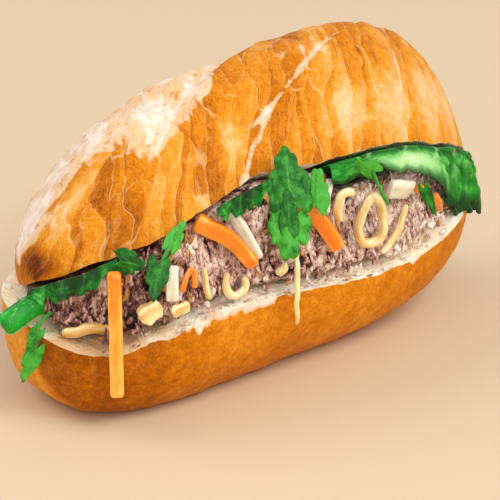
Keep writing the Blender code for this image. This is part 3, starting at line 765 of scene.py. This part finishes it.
def heap_ceiling(x, y):
    """How high the meat may stand: below the lid, the big leaf and the hollow under the leaf's front end."""
    room = LID_ROOM + (LEAF_ROOM - LID_ROOM) * smooth(x, 13 * MM, 18 * MM)
    room += HOLLOW * smooth(x, 14 * MM, 24 * MM) * smooth(x, 58 * MM, 44 * MM)
    return max(mouth_roof(x, y) - room, heap_floor(x, y) + 1 * MM)


def heap_point(x, turn):
    """A point of the meat's core; turn runs once round the section from the front."""
    across = rounded(math.cos(turn), HEAP_POWER)
    rise = rounded(math.sin(turn), HEAP_POWER)
    front = heap_front(x, (1 + rise) / 2) + CORE_INSET - skirt(x) * smooth((1 + rise) / 2, SKIRT_TOP, 0.0)
    rear = HEAP_BACK * end_profile(x, HEAP_TIPS, PLAN_POWER)
    y = (front + rear) / 2 - across * (rear - front) / 2
    low, high = heap_floor(x, y), heap_ceiling(x, y)
    squeeze = end_profile(x, HEAP_TIPS, 5)
    return Vector((x, y, (low + high) / 2 + rise * squeeze * (high - low) / 2))


def unit_ball(rings, sides):
    """Points and faces of a ball whose poles are on Z."""
    points = [Vector((0, 0, -1))]
    for r in range(1, rings):
        tilt = math.pi * r / rings
        for s in range(sides):
            turn = 2 * math.pi * s / sides
            points.append(Vector((math.sin(tilt) * math.cos(turn), math.sin(tilt) * math.sin(turn),
                                  -math.cos(tilt))))
    points.append(Vector((0, 0, 1)))
    faces = [(0, 1 + (s + 1) % sides, 1 + s) for s in range(sides)]
    faces += [tuple(k + 1 for k in face) for face in grid_faces(rings - 1, sides, True)]
    top = len(points) - 1
    faces += [(top, top - sides + s, top - sides + (s + 1) % sides) for s in range(sides)]
    return points, faces


def core_relief(point):
    """How far the heap's core stands out at a point, in lumps, threads and crevices."""
    spot = point / MM
    sway = Vector((noise.noise(spot / 6), noise.noise(spot / 6 + Vector((9, 0, 0))), 0)) * 2.6
    long = Vector((spot.x + sway.x, spot.y + sway.y, spot.z / 2.4))
    relief = 0.8 * noise.noise(spot / 4.2) + 0.55 * noise.noise(long / 1.6) + 0.3 * noise.noise(long / 0.8)
    gap = abs(noise.noise(long / 3.6 + Vector((0, 0, 31))))
    open_here = smooth(noise.noise(spot / 11 + Vector((0, 40, 0))), -0.25, 0.15)
    return relief - 1.25 * (1 - smooth(gap, 0.0, 0.11)) * open_here


def painted_side_shade(x):
    """Painted shade and light: the meat is darker at the left end, in shade, and paler at the right, in the
    light.
    """
    return 0.12 * smooth(x, -20 * MM, 60 * MM) - 0.27 * smooth(x, -42 * MM, -74 * MM)


def add_core(heap):
    """The finely crumbled core of the heap."""
    points, tones = [], []
    for x in stations(HEAP_TIPS, MEAT_RINGS, 0.999):
        for s in range(MEAT_SIDES):
            turn = 2 * math.pi * s / MEAT_SIDES
            point = heap_point(x, turn - 0.62 * math.sin(turn))
            relief = core_relief(point)
            point.y -= (0.4 + relief * 1.1) * MM
            points.append(point)
            # Painted shade: the core's tone is darker where its relief sinks into crevices
            tones.append(0.54 + 0.5 * relief + painted_side_shade(x))
    grain = [point.copy() for point in points]
    heap.add(points, grid_faces(MEAT_RINGS + 1, MEAT_SIDES, True), tone=tones, grain=grain, fried=0.0)


def grain_points(ball, size, seed, bend, spin, lean):
    """The points of one lumpy grain about its own middle: bent, turned in its plane and leant back."""
    points = []
    for place in ball:
        swell = (1 + 0.4 * noise.noise(place * 1.5 + seed) + 0.34 * noise.noise(place * 3.4 + seed)
                 + 0.14 * noise.noise(place * 7.5 + seed))
        spot = Vector((place.x * size[0], place.y * size[1], place.z * size[2])) * swell
        spot.x += bend * spot.z * spot.z / size[2] * 0.5
        turned = Vector((spot.x * math.cos(spin) + spot.z * math.sin(spin), spot.y,
                         spot.z * math.cos(spin) - spot.x * math.sin(spin)))
        points.append(Vector((turned.x, turned.y * math.cos(lean) - turned.z * math.sin(lean),
                              turned.z * math.cos(lean) + turned.y * math.sin(lean))) * MM)
    return points


def make_meat(neighbours):
    """The heap: its core under several hundred grains and shreds, kept clear of the other pieces."""
    heap = Shape()
    add_core(heap)
    chance = random.Random(MEAT_SEED)
    ball, ball_faces = unit_ball(6, 8)
    for k in range(MEAT_CHUNKS + MEAT_SHREDS):
        shred = k >= MEAT_CHUNKS
        spilled = not shred and k % SPILL_EVERY == 0
        x = HEAP_TIPS[0] * 0.99 + (HEAP_TIPS[1] - HEAP_TIPS[0]) * 0.985 * chance.random()
        height = 0.9 * chance.random()
        y = heap_front(x, height)
        low, high = heap_floor(x, y), heap_ceiling(x, y)
        if shred:
            size = (chance.uniform(0.35, 0.7), chance.uniform(0.3, 0.5), chance.uniform(1.2, 3.4))
        else:
            bulk = chance.uniform(0.3, 0.6) if spilled else chance.uniform(0.35, 0.95)
            limits = (0.9, 1.8), (0.7, 1.2), (1.4, 2.8)
            size = tuple(chance.uniform(*limit) * bulk for limit in limits)
        spin = chance.gauss(0, 0.5)
        lean = chance.gauss(0, 0.35)
        shade = chance.gauss(0.02, 0.07)
        often = any(first < x < last for first, last in FRIED_PLACES)
        fried = 1.0 if chance.random() < (0.22 if often else 0.03) else 0.0
        bend = chance.uniform(-0.5, 0.5)
        if spilled:
            y = heap_front(x, 0) - skirt(x) - chance.uniform(-2.5, 0.9) * MM
            centre = Vector((x, y, base_cut(x, y) + size[0] * 0.5 * MM))
            spin += math.pi / 2
        else:
            reach = max(size[2] * abs(math.cos(spin)), size[0]) * MM
            z = low + reach * 0.6 + max(0.0, high - low - 1.2 * reach) * height
            foot = skirt(x) * smooth(height, SKIRT_TOP, 0.0)
            centre = Vector((x, y + (chance.uniform(0.9, 1.9) * MM - foot), z))
        # Painted shade and light: each grain is darker over the core's crevices and lighter where it stands
        # out; spilled grains start lighter
        light = (0.74 if spilled else 0.56) + 0.4 * core_relief(centre)
        points = grain_points(ball, size, Vector((k * 3.1, k * 1.7, 0)), bend, spin, lean)
        for inset in range(4):
            placed = [centre + point + Vector((0, inset * MM, 0)) for point in points]
            for point in placed:
                floor = heap_floor(point.x, point.y) - 0.8 * MM
                point.z = min(max(point.z, floor), heap_ceiling(point.x, point.y))
            tree = BVHTree.FromPolygons(placed, ball_faces)
            if not any(tree.overlap(other) for other in neighbours):
                heap.add(placed, ball_faces, tone=max(0.36, light + shade + painted_side_shade(x)), grain=placed,
                         fried=fried)
                break
    dress(heap.finish("minced_pork", meat_finish()), "meat")


# Sticks, strips and rings

def smooth_path(path, count, closed=False):
    """Points in metres along a smooth curve through a path in mm."""
    path = [Vector(point) * MM for point in path]
    total = len(path) if closed else len(path) - 1
    points = []
    for k in range(count + (0 if closed else 1)):
        place = total * k / count
        i = min(int(place), total - 1)
        t = place - i
        near = [j % len(path) if closed else min(max(j, 0), total) for j in range(i - 1, i + 3)]
        a, b, c, d = (path[j] for j in near)
        points.append(0.5 * (2 * b + (c - a) * t + (2 * a - 5 * b + 4 * c - d) * t * t
                             + (3 * b - a - 3 * c + d) * t**3))
    return points


def sway(spot):
    """A push from noise along each axis, the same in every run."""
    return Vector([noise.noise(spot + Vector(offset)) for offset in ((0, 0, 0), (17, 0, 0), (0, 31, 0))])


ROD_END = ((0.0, 0.0), (0.0, 0.55), (0.25, 0.84), (1.0, 1.0))      # a rounded end: (share of the bevel, size)


def rod(shape, path, width, thickness, steps=40, sides=24, power=4.0, uneven=0.05, seed=0, taper=(1.0, 1.0),
        closed=False, flesh_side=False, tint_along=0.0, cup=0.0, round_ends=0.0, wander=0.0):
    """Lays a stick or strip along a path in mm; its section is a rounded rectangle, width upright and
    thickness towards the camera."""
    line = smooth_path(path, steps, closed)
    line = [point + sway(point / (5 * MM)) * wander * MM for point in line]
    rows = [(point, 1.0, k / steps) for k, point in enumerate(line)]
    if not closed:
        bevel = 0.26 * thickness * MM
        first = (line[1] - line[0]).normalized() * bevel
        last = (line[-1] - line[-2]).normalized() * bevel
        rows = [row for row in rows
                if 2 * bevel < min((row[0] - line[0]).length, (row[0] - line[-1]).length)]
        rows = ([(line[0] + first * share, scale, 0.0) for share, scale in ROD_END] + rows
                + [(line[-1] - last * share, scale, 1.0) for share, scale in ROD_END[::-1]])
    points, grain, edge, flesh = [], [], [], []
    count = len(rows)
    length = sum((line[k + 1] - line[k]).length for k in range(len(line) - 1))
    for k, (centre, scale, share) in enumerate(rows):
        if closed:
            way = (rows[(k + 1) % count][0] - rows[k - 1][0]).normalized()
        else:
            spot = min(max(round(share * steps), 0), steps)
            way = (line[min(spot + 1, steps)] - line[max(spot - 1, 0)]).normalized()
        over = way.cross(FACING).normalized()
        deep = over.cross(way).normalized()
        grow = (taper[0] + (taper[1] - taper[0]) * share) * scale * (1 - round_ends * abs(2 * share - 1) ** 4)
        for s in range(sides):
            angle = 2 * math.pi * s / sides
            c, n = math.cos(angle), math.sin(angle)
            size = grow / (abs(c) ** power + abs(n) ** power) ** (1 / power)
            key = Vector((c * 1.3, n * 1.3, share * length / (5 * MM))) + Vector((seed, 0, 0))
            size *= 1 + uneven * noise.noise(key) + 0.4 * uneven * noise.noise(key * 3.1)
            hollow = cup * (c * c - 0.5) * grow
            points.append(centre + over * c * size * width * MM / 2
                          + deep * (n * size - hollow) * thickness * MM / 2)
            grain.append(Vector((c * width / 2 + seed * 7, n * thickness / 2, share * length / MM)) * MM)
            corner = min(abs(c), abs(n)) * 1.41
            # Paler at the corners of the section, and lighter or darker along the stick where a tint is given
            edge.append((corner ** 4 if scale > 0.9 else 0.6) + tint_along * share)
            flesh.append(0.5 + 0.5 * c if flesh_side else 0.0)
    faces = grid_faces(count, sides, True)
    if closed:
        last_row = (count - 1) * sides
        faces += [(last_row + s, last_row + (s + 1) % sides, (s + 1) % sides, s) for s in range(sides)]
    extra = {"flesh": flesh} if flesh_side else {}
    shape.add(points, faces, grain=grain, edge=edge, **extra)


# How sticks of a kind are shaped, their dark, middle and light colours, and how much light goes into them
STICK_KINDS = {
    "carrot": (dict(power=4.2, uneven=0.07), (240, 104, 0), (255, 138, 4), (255, 186, 76), 0.2),
    "daikon": (dict(power=3.0, uneven=0.09), (200, 190, 162), (230, 220, 196), (248, 244, 228), 0.5),
    "onion": (dict(power=2.4, uneven=0.24, cup=0.9, round_ends=0.3, wander=0.7),
              (208, 160, 78), (242, 214, 150), (255, 250, 226), 0.6),
}

# Sticks and strips by their kind: (node, width and thickness in mm, path in mm, what differs from the kind)
STICKS = {
    "carrot": (
        ("carrot_left", 4.6, 4.2, [(-79.6, -31.6, 58.4), (-80.0, -32.4, 37), (-79.9, -32.4, 14.2)],
         dict(tint_along=1.6)),
        ("carrot_middle", 6.6, 4.6, [(-43.2, -28.9, 66.0), (-33.4, -34.3, 58.9), (-25.0, -37.7, 48.2)],
         dict(taper=(1.0, 0.72))),
        ("carrot_right", 6.4, 4.6, [(-0.9, -32.2, 64.2), (6.0, -36.0, 55.4), (11.9, -38.9, 44.9)],
         dict(taper=(0.9, 0.86))),
        ("carrot_shred_1", 2.8, 2.0, [(66.1, -28.9, 48.2), (68.4, -28.9, 44.6), (74.4, -23.4, 38.4)], {}),
        ("carrot_shred_2", 2.6, 2.2, [(54.6, -31.5, 53.4), (57.0, -31.3, 53.4), (59.1, -30.7, 52.7)], {}),
        ("carrot_shred_3", 1.8, 1.6, [(-53.8, -34.6, 45.5), (-52.1, -34.7, 50.1), (-50.1, -34.7, 52.3),
                                      (-48.8, -34.8, 50.5), (-48.9, -35.3, 45.8)], {}),
    ),
    "daikon": (
        ("daikon_middle", 4.4, 2.6, [(-29.6, -27.5, 67.6), (-26.1, -31.6, 60.6), (-21.2, -35.1, 48.8)], {}),
        ("daikon_left", 4.2, 2.4, [(-56.0, -32.3, 54.7), (-57.2, -33.7, 48.2), (-58.0, -34.5, 43.1)], {}),
        ("daikon_right", 7.4, 3.4, [(40.7, -32.7, 57.7), (46.2, -32.5, 56.4), (51.9, -31.4, 54.3)], {}),
        ("daikon_sliver", 3.0, 1.8, [(14.9, -30.6, 67.2), (11.3, -32.9, 62.3), (9.9, -34.0, 57.1)], {}),
    ),
    "onion": (
        ("onion_arc", 2.6, 2.2, [(49.7, -31.8, 49.5), (48.1, -32.8, 46.4), (44.4, -34.4, 42.5),
                                 (37.7, -36.8, 38.8), (32.7, -37.8, 37.4)], {}),
        ("onion_hook", 3.4, 2.2, [(23.4, -33.1, 61.2), (20.1, -34.2, 62.3), (16.4, -34.8, 61.0),
                                  (14.3, -35.5, 57.5), (14.8, -36.1, 53.4)], {}),
        ("onion_top", 3.2, 1.8, [(-18.4, -29.5, 69.1), (-14.6, -31.1, 68.9), (-12.3, -32.3, 66.5),
                                 (-11.8, -33.3, 63.0)], {}),
        ("onion_curl", 2.8, 2.2, [(-28.7, -36.6, 44.7), (-28.6, -37.3, 41.6), (-32.1, -37.5, 39.2),
                                  (-35.9, -37.3, 40.1), (-36.9, -36.6, 43.6), (-35.0, -35.5, 47.1)], {}),
        ("onion_small", 3.0, 2.0, [(-15.6, -37.6, 42.5), (-12.9, -38.1, 43.3), (-11.0, -37.6, 45.5)], {}),
        ("onion_slab_1", 7.0, 1.5, [(-62.3, -34.5, 43.1), (-66.0, -34.2, 41.4), (-70.3, -33.4, 38.8)],
         dict(uneven=0.4, round_ends=0.5)),
        ("onion_slab_2", 4.2, 1.4, [(-51.7, -35.9, 40.5), (-54.9, -36.0, 40.1), (-59.0, -36.3, 39.4)],
         dict(uneven=0.4, round_ends=0.5)),
        ("onion_left", 4.0, 2.4, [(-86.6, -12.0, 31.6), (-85.0, -15.6, 33.2), (-82.0, -18.8, 34.6),
                                  (-78.6, -21.4, 34.8), (-75.4, -24.0, 34.2)], dict(tint_along=-1.4)),
        ("onion_strand_1", 2.2, 1.6, [(-44.8, -35.2, 51.7), (-45.2, -36.3, 46.0), (-44.0, -37.1, 41.0)], {}),
        ("onion_strand_2", 1.9, 1.3, [(-6.6, -38.3, 46.9), (-9.2, -41.1, 42.3), (-12.6, -45.1, 39.6),
                                      (-15.0, -48.0, 36.2), (-15.5, -48.4, 27.2)], {}),
    ),
}

# The onion ring, in mm
RING_CENTRE = Vector((28.9, -36.5, 49.8))
RING_WIDTH = 11.2
RING_HEIGHT = 16.8
RING_SWAY = 0.9
RING_KNOTS = 12
RING_FORM = dict(width=3.4, thickness=2.6, steps=96, power=2.4, uneven=0.2, cup=0.9, wander=0.5, seed=31,
                 closed=True)

CUCUMBER = dict(path=[(-100.5, 3, 33.0), (-89, 0, 38.7), (-72, -3, 41.2), (-58, -5, 43.6)], width=8.6,
                thickness=6.6, steps=70, sides=56, power=2.2, flesh_side=True)


def make_sticks():
    """Every stick, strip and ring, and the cucumber."""
    pieces = []

    def lay(node, material, form):
        shape = Shape()
        rod(shape, **form)
        pieces.append(dress(shape.finish(f"{node}_fresh", material), node))

    materials = {kind: stick_finish(kind, *look) for kind, (_, *look) in STICK_KINDS.items()}
    for kind, group in STICKS.items():
        for k, (node, width, thickness, path, own) in enumerate(group):
            form = dict(path=path, width=width, thickness=thickness, seed=k + 1)
            lay(node, materials[kind], {**form, **STICK_KINDS[kind][0], **own})
    ring = []
    for k in range(RING_KNOTS):
        turn = 2 * math.pi * k / RING_KNOTS
        ring.append((RING_CENTRE.x + math.cos(turn) * RING_WIDTH / 2,
                     RING_CENTRE.y + RING_SWAY * math.sin(2 * turn),
                     RING_CENTRE.z + math.sin(turn) * RING_HEIGHT / 2))
    lay("onion_ring", materials["onion"], dict(path=ring, **RING_FORM))
    lay("cucumber", cucumber_finish(), CUCUMBER)
    return pieces


# Lettuce

# How deep the big leaf hangs below the lid, as (hundredths of its way from its front end, mm)
LEAF_DROP = (
    (0, 6), (15, 7), (24, 10.5), (32, 13), (37, 20), (43, 22), (55, 21), (78, 20), (90, 19), (100, 9))


def frill_bulge(s, t):
    """How far the leaf bulges out, in soft lobes that vary along it and down it."""
    return rough(s * 44, t * 9, 9) + 0.5 * rough(s * 90, t * 18, 4)


def hanging_lettuce(s, t):
    """The big leaf under the lid's right half: s runs along the rim and t from inside to its free edge."""
    turn = math.radians(86 - 96 * s)
    x = LID_TIPS[1] * math.cos(turn) ** (2 / PLAN_POWER)
    y = -HALF_DEPTH * rounded(math.sin(turn), PLAN_POWER)
    inset = 0.5 + 0.5 * min(1.0, t / 0.5)
    spot = lift_lid(x * inset, y * inset, lid_cut(x * inset, y * inset) - 1.7 * MM)
    over = max(0.0, (t - 0.5) / 0.5)
    frill = math.sin(46 * s) + 0.5 * math.sin(83 * s + 1)
    outwards = Vector((math.cos(turn), -0.9 * math.sin(turn), 0))
    drop = along(LEAF_DROP, 100 * MM * s)
    spot += outwards * (2.6 + 2.6 * s + 0.9 * frill) * over ** 0.5 * MM
    spot.z -= drop * over ** 1.6 + 0.8 * MM * frill * over
    past = (abs(spot.x / BASE_TIPS[1]) ** PLAN_POWER
            + abs(spot.y / HALF_DEPTH) ** PLAN_POWER) ** (1 / PLAN_POWER)
    outside = max(0.0, (past - 1) * math.hypot(spot.x, spot.y) - 1.5 * MM)
    spot.z = max(spot.z, base_cut(spot.x, spot.y) + 1.4 * MM - 3 * outside)
    ruffle = rough(s * 60, t * 5, 0) + 0.6 * math.sin(160 * s + 3 * t)
    crinkle = over ** 1.5 * (0.2 + 0.8 * smooth(s, 0.3, 0.5))
    spot += outwards * ruffle * crinkle * 1.5 * MM
    lobes = math.sin(78 * s + 2 * math.sin(17 * s)) + 0.6 * math.sin(141 * s)
    frilly = smooth(s, 0.28, 0.36)
    spot += outwards * lobes * frilly * over ** 2 * 1.5 * MM
    spot += outwards * frill_bulge(s, t) * frilly * smooth(over, 0.0, 0.3) * 2.2 * MM
    spot.z += (rough(s * 70, t * 4, 5) * 3.2 - 2.6 * abs(lobes) * frilly) * crinkle * MM
    return spot


def frill_point(path, s, t, height):
    """A point of a hanging frill: its upper edge follows the path, and its lower edge waves."""
    place = s * (len(path) - 1)
    k = min(int(place), len(path) - 2)
    spot = path[k].lerp(path[k + 1], place - k) * MM
    wave = math.sin(21 * s) + 0.4 * math.sin(47 * s) + 0.3 * rough(s * 40, t * 3, height)
    deep = (height * (0.3 + 0.7 * math.sin(math.pi * s) ** 0.6)
            * (1 + 0.14 * math.sin(33 * s + 2) + 0.3 * rough(s * 14, 0, height)))
    return spot + FACING * (0.9 * wave * t + 0.8 * t) * MM + Vector((0, 0, -deep * t * MM))


# Frills: upper edge and height in mm
FRILLS = {
    "lettuce_frill_left": (
        [(-95.5, -5.0, 47.6), (-92.0, -9.0, 49.6), (-88.0, -13.6, 52.0), (-83.0, -18.8, 54.4),
         (-78.5, -22.6, 57.4), (-73.5, -25.4, 59.8)], 6.4),
    "lettuce_frill_middle": (
        [(-38.5, -34.2, 71.2), (-31.0, -35.0, 73.6), (-22.6, -35.0, 75.0), (-14.5, -34.6, 76.0)], 6.5),
}


def leaf_sheet(name, node, point, columns, rows, shading, material):
    """A lettuce leaf laid over point(s, t), with shading(s, t) giving its lightness and veins."""
    shape = Shape()
    points, grain, light, vein = [], [], [], []
    for r in range(rows + 1):
        for c in range(columns + 1):
            s, t = c / columns, r / rows
            points.append(point(s, t))
            # The name's length gives each leaf a grain of its own
            grain.append(Vector((s * columns * 0.5, t * rows * 0.5, len(name))) * MM)
            bright, line = shading(s, t)
            light.append(bright)
            vein.append(line)
    shape.add(points, grid_faces(rows + 1, columns + 1, False), grain=grain, light=light, vein=vein)
    dress(shape.finish(name, material, LEAF_THICKNESS["lettuce"]), node)


def make_lettuce():
    material = leaf_finish("lettuce", (2, 62, 12), (12, 136, 26), (112, 212, 98), (206, 240, 188), 0.25)

    def big(s, t):
        """A pale midrib, fine veins, and shade under the lid, along the edge and between the lobes."""
        pale = math.exp(-((s - 0.22) / 0.09) ** 2 - ((t - 0.82) / 0.12) ** 2)
        lobes = frill_bulge(s, t) * smooth(s, 0.26, 0.34) * smooth(t, 0.5, 0.65)
        shade = (0.18 * smooth(t, 0.7, 0.58) + 0.35 * smooth(t, 0.86, 0.98) + 0.04 * smooth(s, 0.32, 0.42)
                 - 0.2 * lobes)
        line = max(0.0, math.cos(s * 55 + t * 3 + 0.5 * math.sin(9 * t))) ** 24
        return 0.6 * pale - shade, min(1.0, 0.3 * line * smooth(t, 1.0, 0.6) + 0.95 * pale ** 1.3)

    def small(s, t):
        line = max(0.0, math.cos(s * 30 + t)) ** 16
        return -0.12 - 0.2 * (1 - t) + 0.2 * math.sin(9 * s) ** 3, 0.1 * line * (1 - t)

    leaf_sheet("lettuce_leaf", "lettuce", hanging_lettuce, 300, 64, big, material)
    for node, (path, height) in FRILLS.items():
        line = [Vector(point) for point in path]

        def hang(s, t):
            return frill_point(line, s, t, height)

        leaf_sheet(f"{node}_fresh", node, hang, 110, 24, small, material)


# Coriander

LEAF_SPOKES = 64
LEAF_RINGS = 10
LEAF_SPREAD = math.radians(118)         # how far the outermost spokes turn from the leaf's middle
LOBES = 180 / 76                        # turns of the lobes for each turn of the spokes


def coriander_leaf(shape, foot, tip, width, curl, light, seed):
    """A three-lobed toothed leaf: a fan of spokes from its foot, cupped, and creased along its veins."""
    foot, tip = Vector(foot), Vector(tip)
    length = (tip - foot).length
    way = (tip - foot) / length
    over = way.cross(FACING).normalized()
    out = over.cross(way).normalized()
    if out.dot(FACING) < 0:
        out = -out
    points, grain, lights, veins = [], [], [], []
    for r in range(LEAF_RINGS + 1):
        share = r / LEAF_RINGS
        for s in range(LEAF_SPOKES + 1):
            angle = LEAF_SPREAD * (2 * s / LEAF_SPOKES - 1)
            lobe = abs(math.cos(angle * LOBES)) ** 0.22
            tooth = 0.13 * abs(math.cos(angle * 5.5 + seed)) ** 0.5 - 0.09
            reach = share * (0.52 + 0.45 * lobe + tooth * share) * (0.66 + 0.34 * math.cos(angle / 2))
            t, a = reach * math.cos(angle) * 0.98 + 0.02, reach * math.sin(angle) * 0.68
            bend = (-curl * length * t * t - 0.3 * width * abs(a) * (1 - t) + 0.06 * width * (lobe * share)
                    + 0.07 * width * rough(t * 5, a * 5, seed))
            points.append((foot + way * t * length + over * a * width + out * bend) * MM)
            grain.append(Vector((a * width, t * length, seed * 9)) * MM)
            lights.append(light + 0.14 * (1 - share))
            ridge = (max(0.0, math.cos(angle * LOBES)) ** 60
                     + 0.4 * max(0.0, math.cos(angle * 17 + seed)) ** 14)
            veins.append(min(1.0, 0.5 * ridge * (1 - share ** 2)))
    faces = grid_faces(LEAF_RINGS + 1, LEAF_SPOKES + 1, False)
    shape.add(points, faces, grain=grain, light=lights, vein=veins)


# Sprigs: thickness of the stem, its path, and the leaves as (foot, tip, width, curl, lightness), all in mm
SPRIGS = {
    "coriander_centre": (1.6, [
        (-14.1, -42.0, 55.1), (-12.4, -42.1, 60.9), (-9.7, -40.4, 68.6), (-9.7, -38.4, 73.3)
    ], [
        ((-11.5, -40.6, 68.4), (-9.0, -33.7, 85.9), 12.4, 0.12, 0.0),
        ((-14.0, -42.7, 59.4), (-12.0, -39.4, 72.8), 5.6, 0.05, -0.06),
        ((-12.9, -41.8, 62.9), (-15.7, -44.3, 49.4), 12.0, 0.02, 0.24),
    ]),
    "coriander_leaflet": (0, [], [
        ((0.9, -38.8, 63.4), (5.0, -35.4, 75.4), 8.0, 0.05, 0.35),
    ]),
    "coriander_left": (1.3, [
        (-51.2, -31.6, 68.4), (-56.9, -33.5, 63.7), (-62.3, -34.8, 58.4), (-65.9, -36.1, 53.3)
    ], [
        ((-64.0, -35.5, 58.4), (-68.5, -37.7, 46.9), 6.4, 0.0, -0.1),
        ((-57.8, -34.0, 62.8), (-50.4, -31.8, 69.1), 4.6, 0.0, 0.3),
    ]),
    "coriander_by_carrot": (0, [], [
        ((-76.2, -30.2, 61.0), (-69.6, -35.8, 59.3), 7.6, 0.0, -0.12),
    ]),
    "coriander_far_left": (1.3, [
        (-88.4, -8.4, 38.9), (-93.2, -8.6, 36.4), (-94.0, -7.4, 29.8), (-94.4, -6.0, 24.0)
    ], [
        ((-94.1, -7.0, 26.6), (-98.3, -4.2, 15.0), 5.2, 0.0, 0.2),
        ((-93.7, -7.9, 33.4), (-97.0, -6.2, 28.0), 4.0, 0.0, 0.1),
    ]),
    "coriander_right": (1.3, [
        (27.3, -37.6, 70.8), (28.5, -39.3, 66.0), (29.9, -40.7, 61.5), (32.5, -41.3, 56.5)
    ], [
        ((28.1, -38.4, 68.9), (20.5, -37.0, 75.6), 5.6, 0.0, 0.25),
    ]),
    "coriander_tip": (0, [], [
        ((55.4, -35.1, 54.7), (60.1, -36.4, 43.8), 3.4, 0.0, -0.05),
    ]),
}


def make_coriander():
    material = leaf_finish("coriander", (2, 46, 4), (14, 104, 14), (70, 172, 50), (96, 190, 72), 0.1)
    pieces = []
    for k, (node, (size, path, leaves)) in enumerate(SPRIGS.items()):
        blades = Shape()
        for j, leaf in enumerate(leaves):
            coriander_leaf(blades, *leaf, seed=k * 1.7 + j)
        piece = blades.finish(f"{node}_fresh", material, LEAF_THICKNESS["coriander"])
        if path:
            stem, stalk = Shape(), Shape()
            rod(stem, path, size, size, steps=28, sides=10, power=2, uneven=0.12, seed=len(path))
            stalk.add(stem.points, stem.faces, grain=stem.values["grain"], light=0.1, vein=0.25)
            joined = stalk.finish("stalk", material)
            with bpy.context.temp_override(active_object=piece, selected_editable_objects=[piece, joined]):
                bpy.ops.object.join()
        pieces.append(dress(piece, node))
    return pieces


# Floor, light and camera

FLOOR_HALF = 2.5
FLOOR_COLOUR = (216, 193, 163)
AMBIENT = (1.0, 0.985, 0.96, 1)
AMBIENT_STRENGTH = 0.58

# Square lamps that face the roll: (name, place, size, power, colour)
LAMPS = (
    ("key", (0.42, -1.53, 1.87), 1.36, 35, (1.0, 0.97, 0.92)),
    ("front", (-1.19, -1.87, 1.02), 1.7, 20, (1.0, 0.98, 0.95)),
    ("rim", (-0.9, 1.05, 1.35), 1.05, 12, (1.0, 0.97, 0.93)),
)


def make_stage():
    shape = Shape()
    corners = ((-1, -1), (1, -1), (1, 1), (-1, 1))
    shape.add([Vector((x * FLOOR_HALF, y * FLOOR_HALF, 0)) for x, y in corners], [(0, 1, 2, 3)])
    floor = shape.finish("floor", Finish("floor", roughness=0.75, specular=0.2).done(srgb(*FLOOR_COLOUR)))


def make_light():
    for name, place, size, power, colour in LAMPS:
        lamp = bpy.data.lights.new(name, "AREA")
        lamp.shape = "SQUARE"
        lamp.size = size
        lamp.energy = power
        lamp.color = colour
        holder = bpy.data.objects.new(name, lamp)
        holder.location = place
        holder.rotation_euler = (VIEW_TARGET - holder.location).to_track_quat("-Z", "Y").to_euler()
        bpy.context.scene.collection.objects.link(holder)
    world = bpy.data.worlds.new("studio")
    world.use_nodes = True
    background = world.node_tree.nodes["Background"].inputs
    background["Color"].default_value = AMBIENT
    background["Strength"].default_value = AMBIENT_STRENGTH
    bpy.context.scene.world = world
    bpy.context.scene.view_settings.view_transform = "Standard"


def make_camera():
    back = Vector((math.sin(VIEW_AZIMUTH) * math.cos(VIEW_ELEVATION),
                   -math.cos(VIEW_AZIMUTH) * math.cos(VIEW_ELEVATION), math.sin(VIEW_ELEVATION)))
    lens = bpy.data.cameras.new("camera")
    lens.lens = VIEW_LENS
    lens.sensor_width = SENSOR_WIDTH
    camera = bpy.data.objects.new("camera", lens)
    camera.location = VIEW_TARGET + back * VIEW_DISTANCE
    camera.rotation_euler = (-back).to_track_quat("-Z", "Y").to_euler()
    bpy.context.scene.collection.objects.link(camera)
    bpy.context.scene.camera = camera


make_camera()
make_light()
make_stage()
make_roll()
sticks = make_sticks()
make_lettuce()
coriander = make_coriander()
depsgraph = bpy.context.evaluated_depsgraph_get()
make_meat([BVHTree.FromObject(piece, depsgraph) for piece in sticks + coriander])
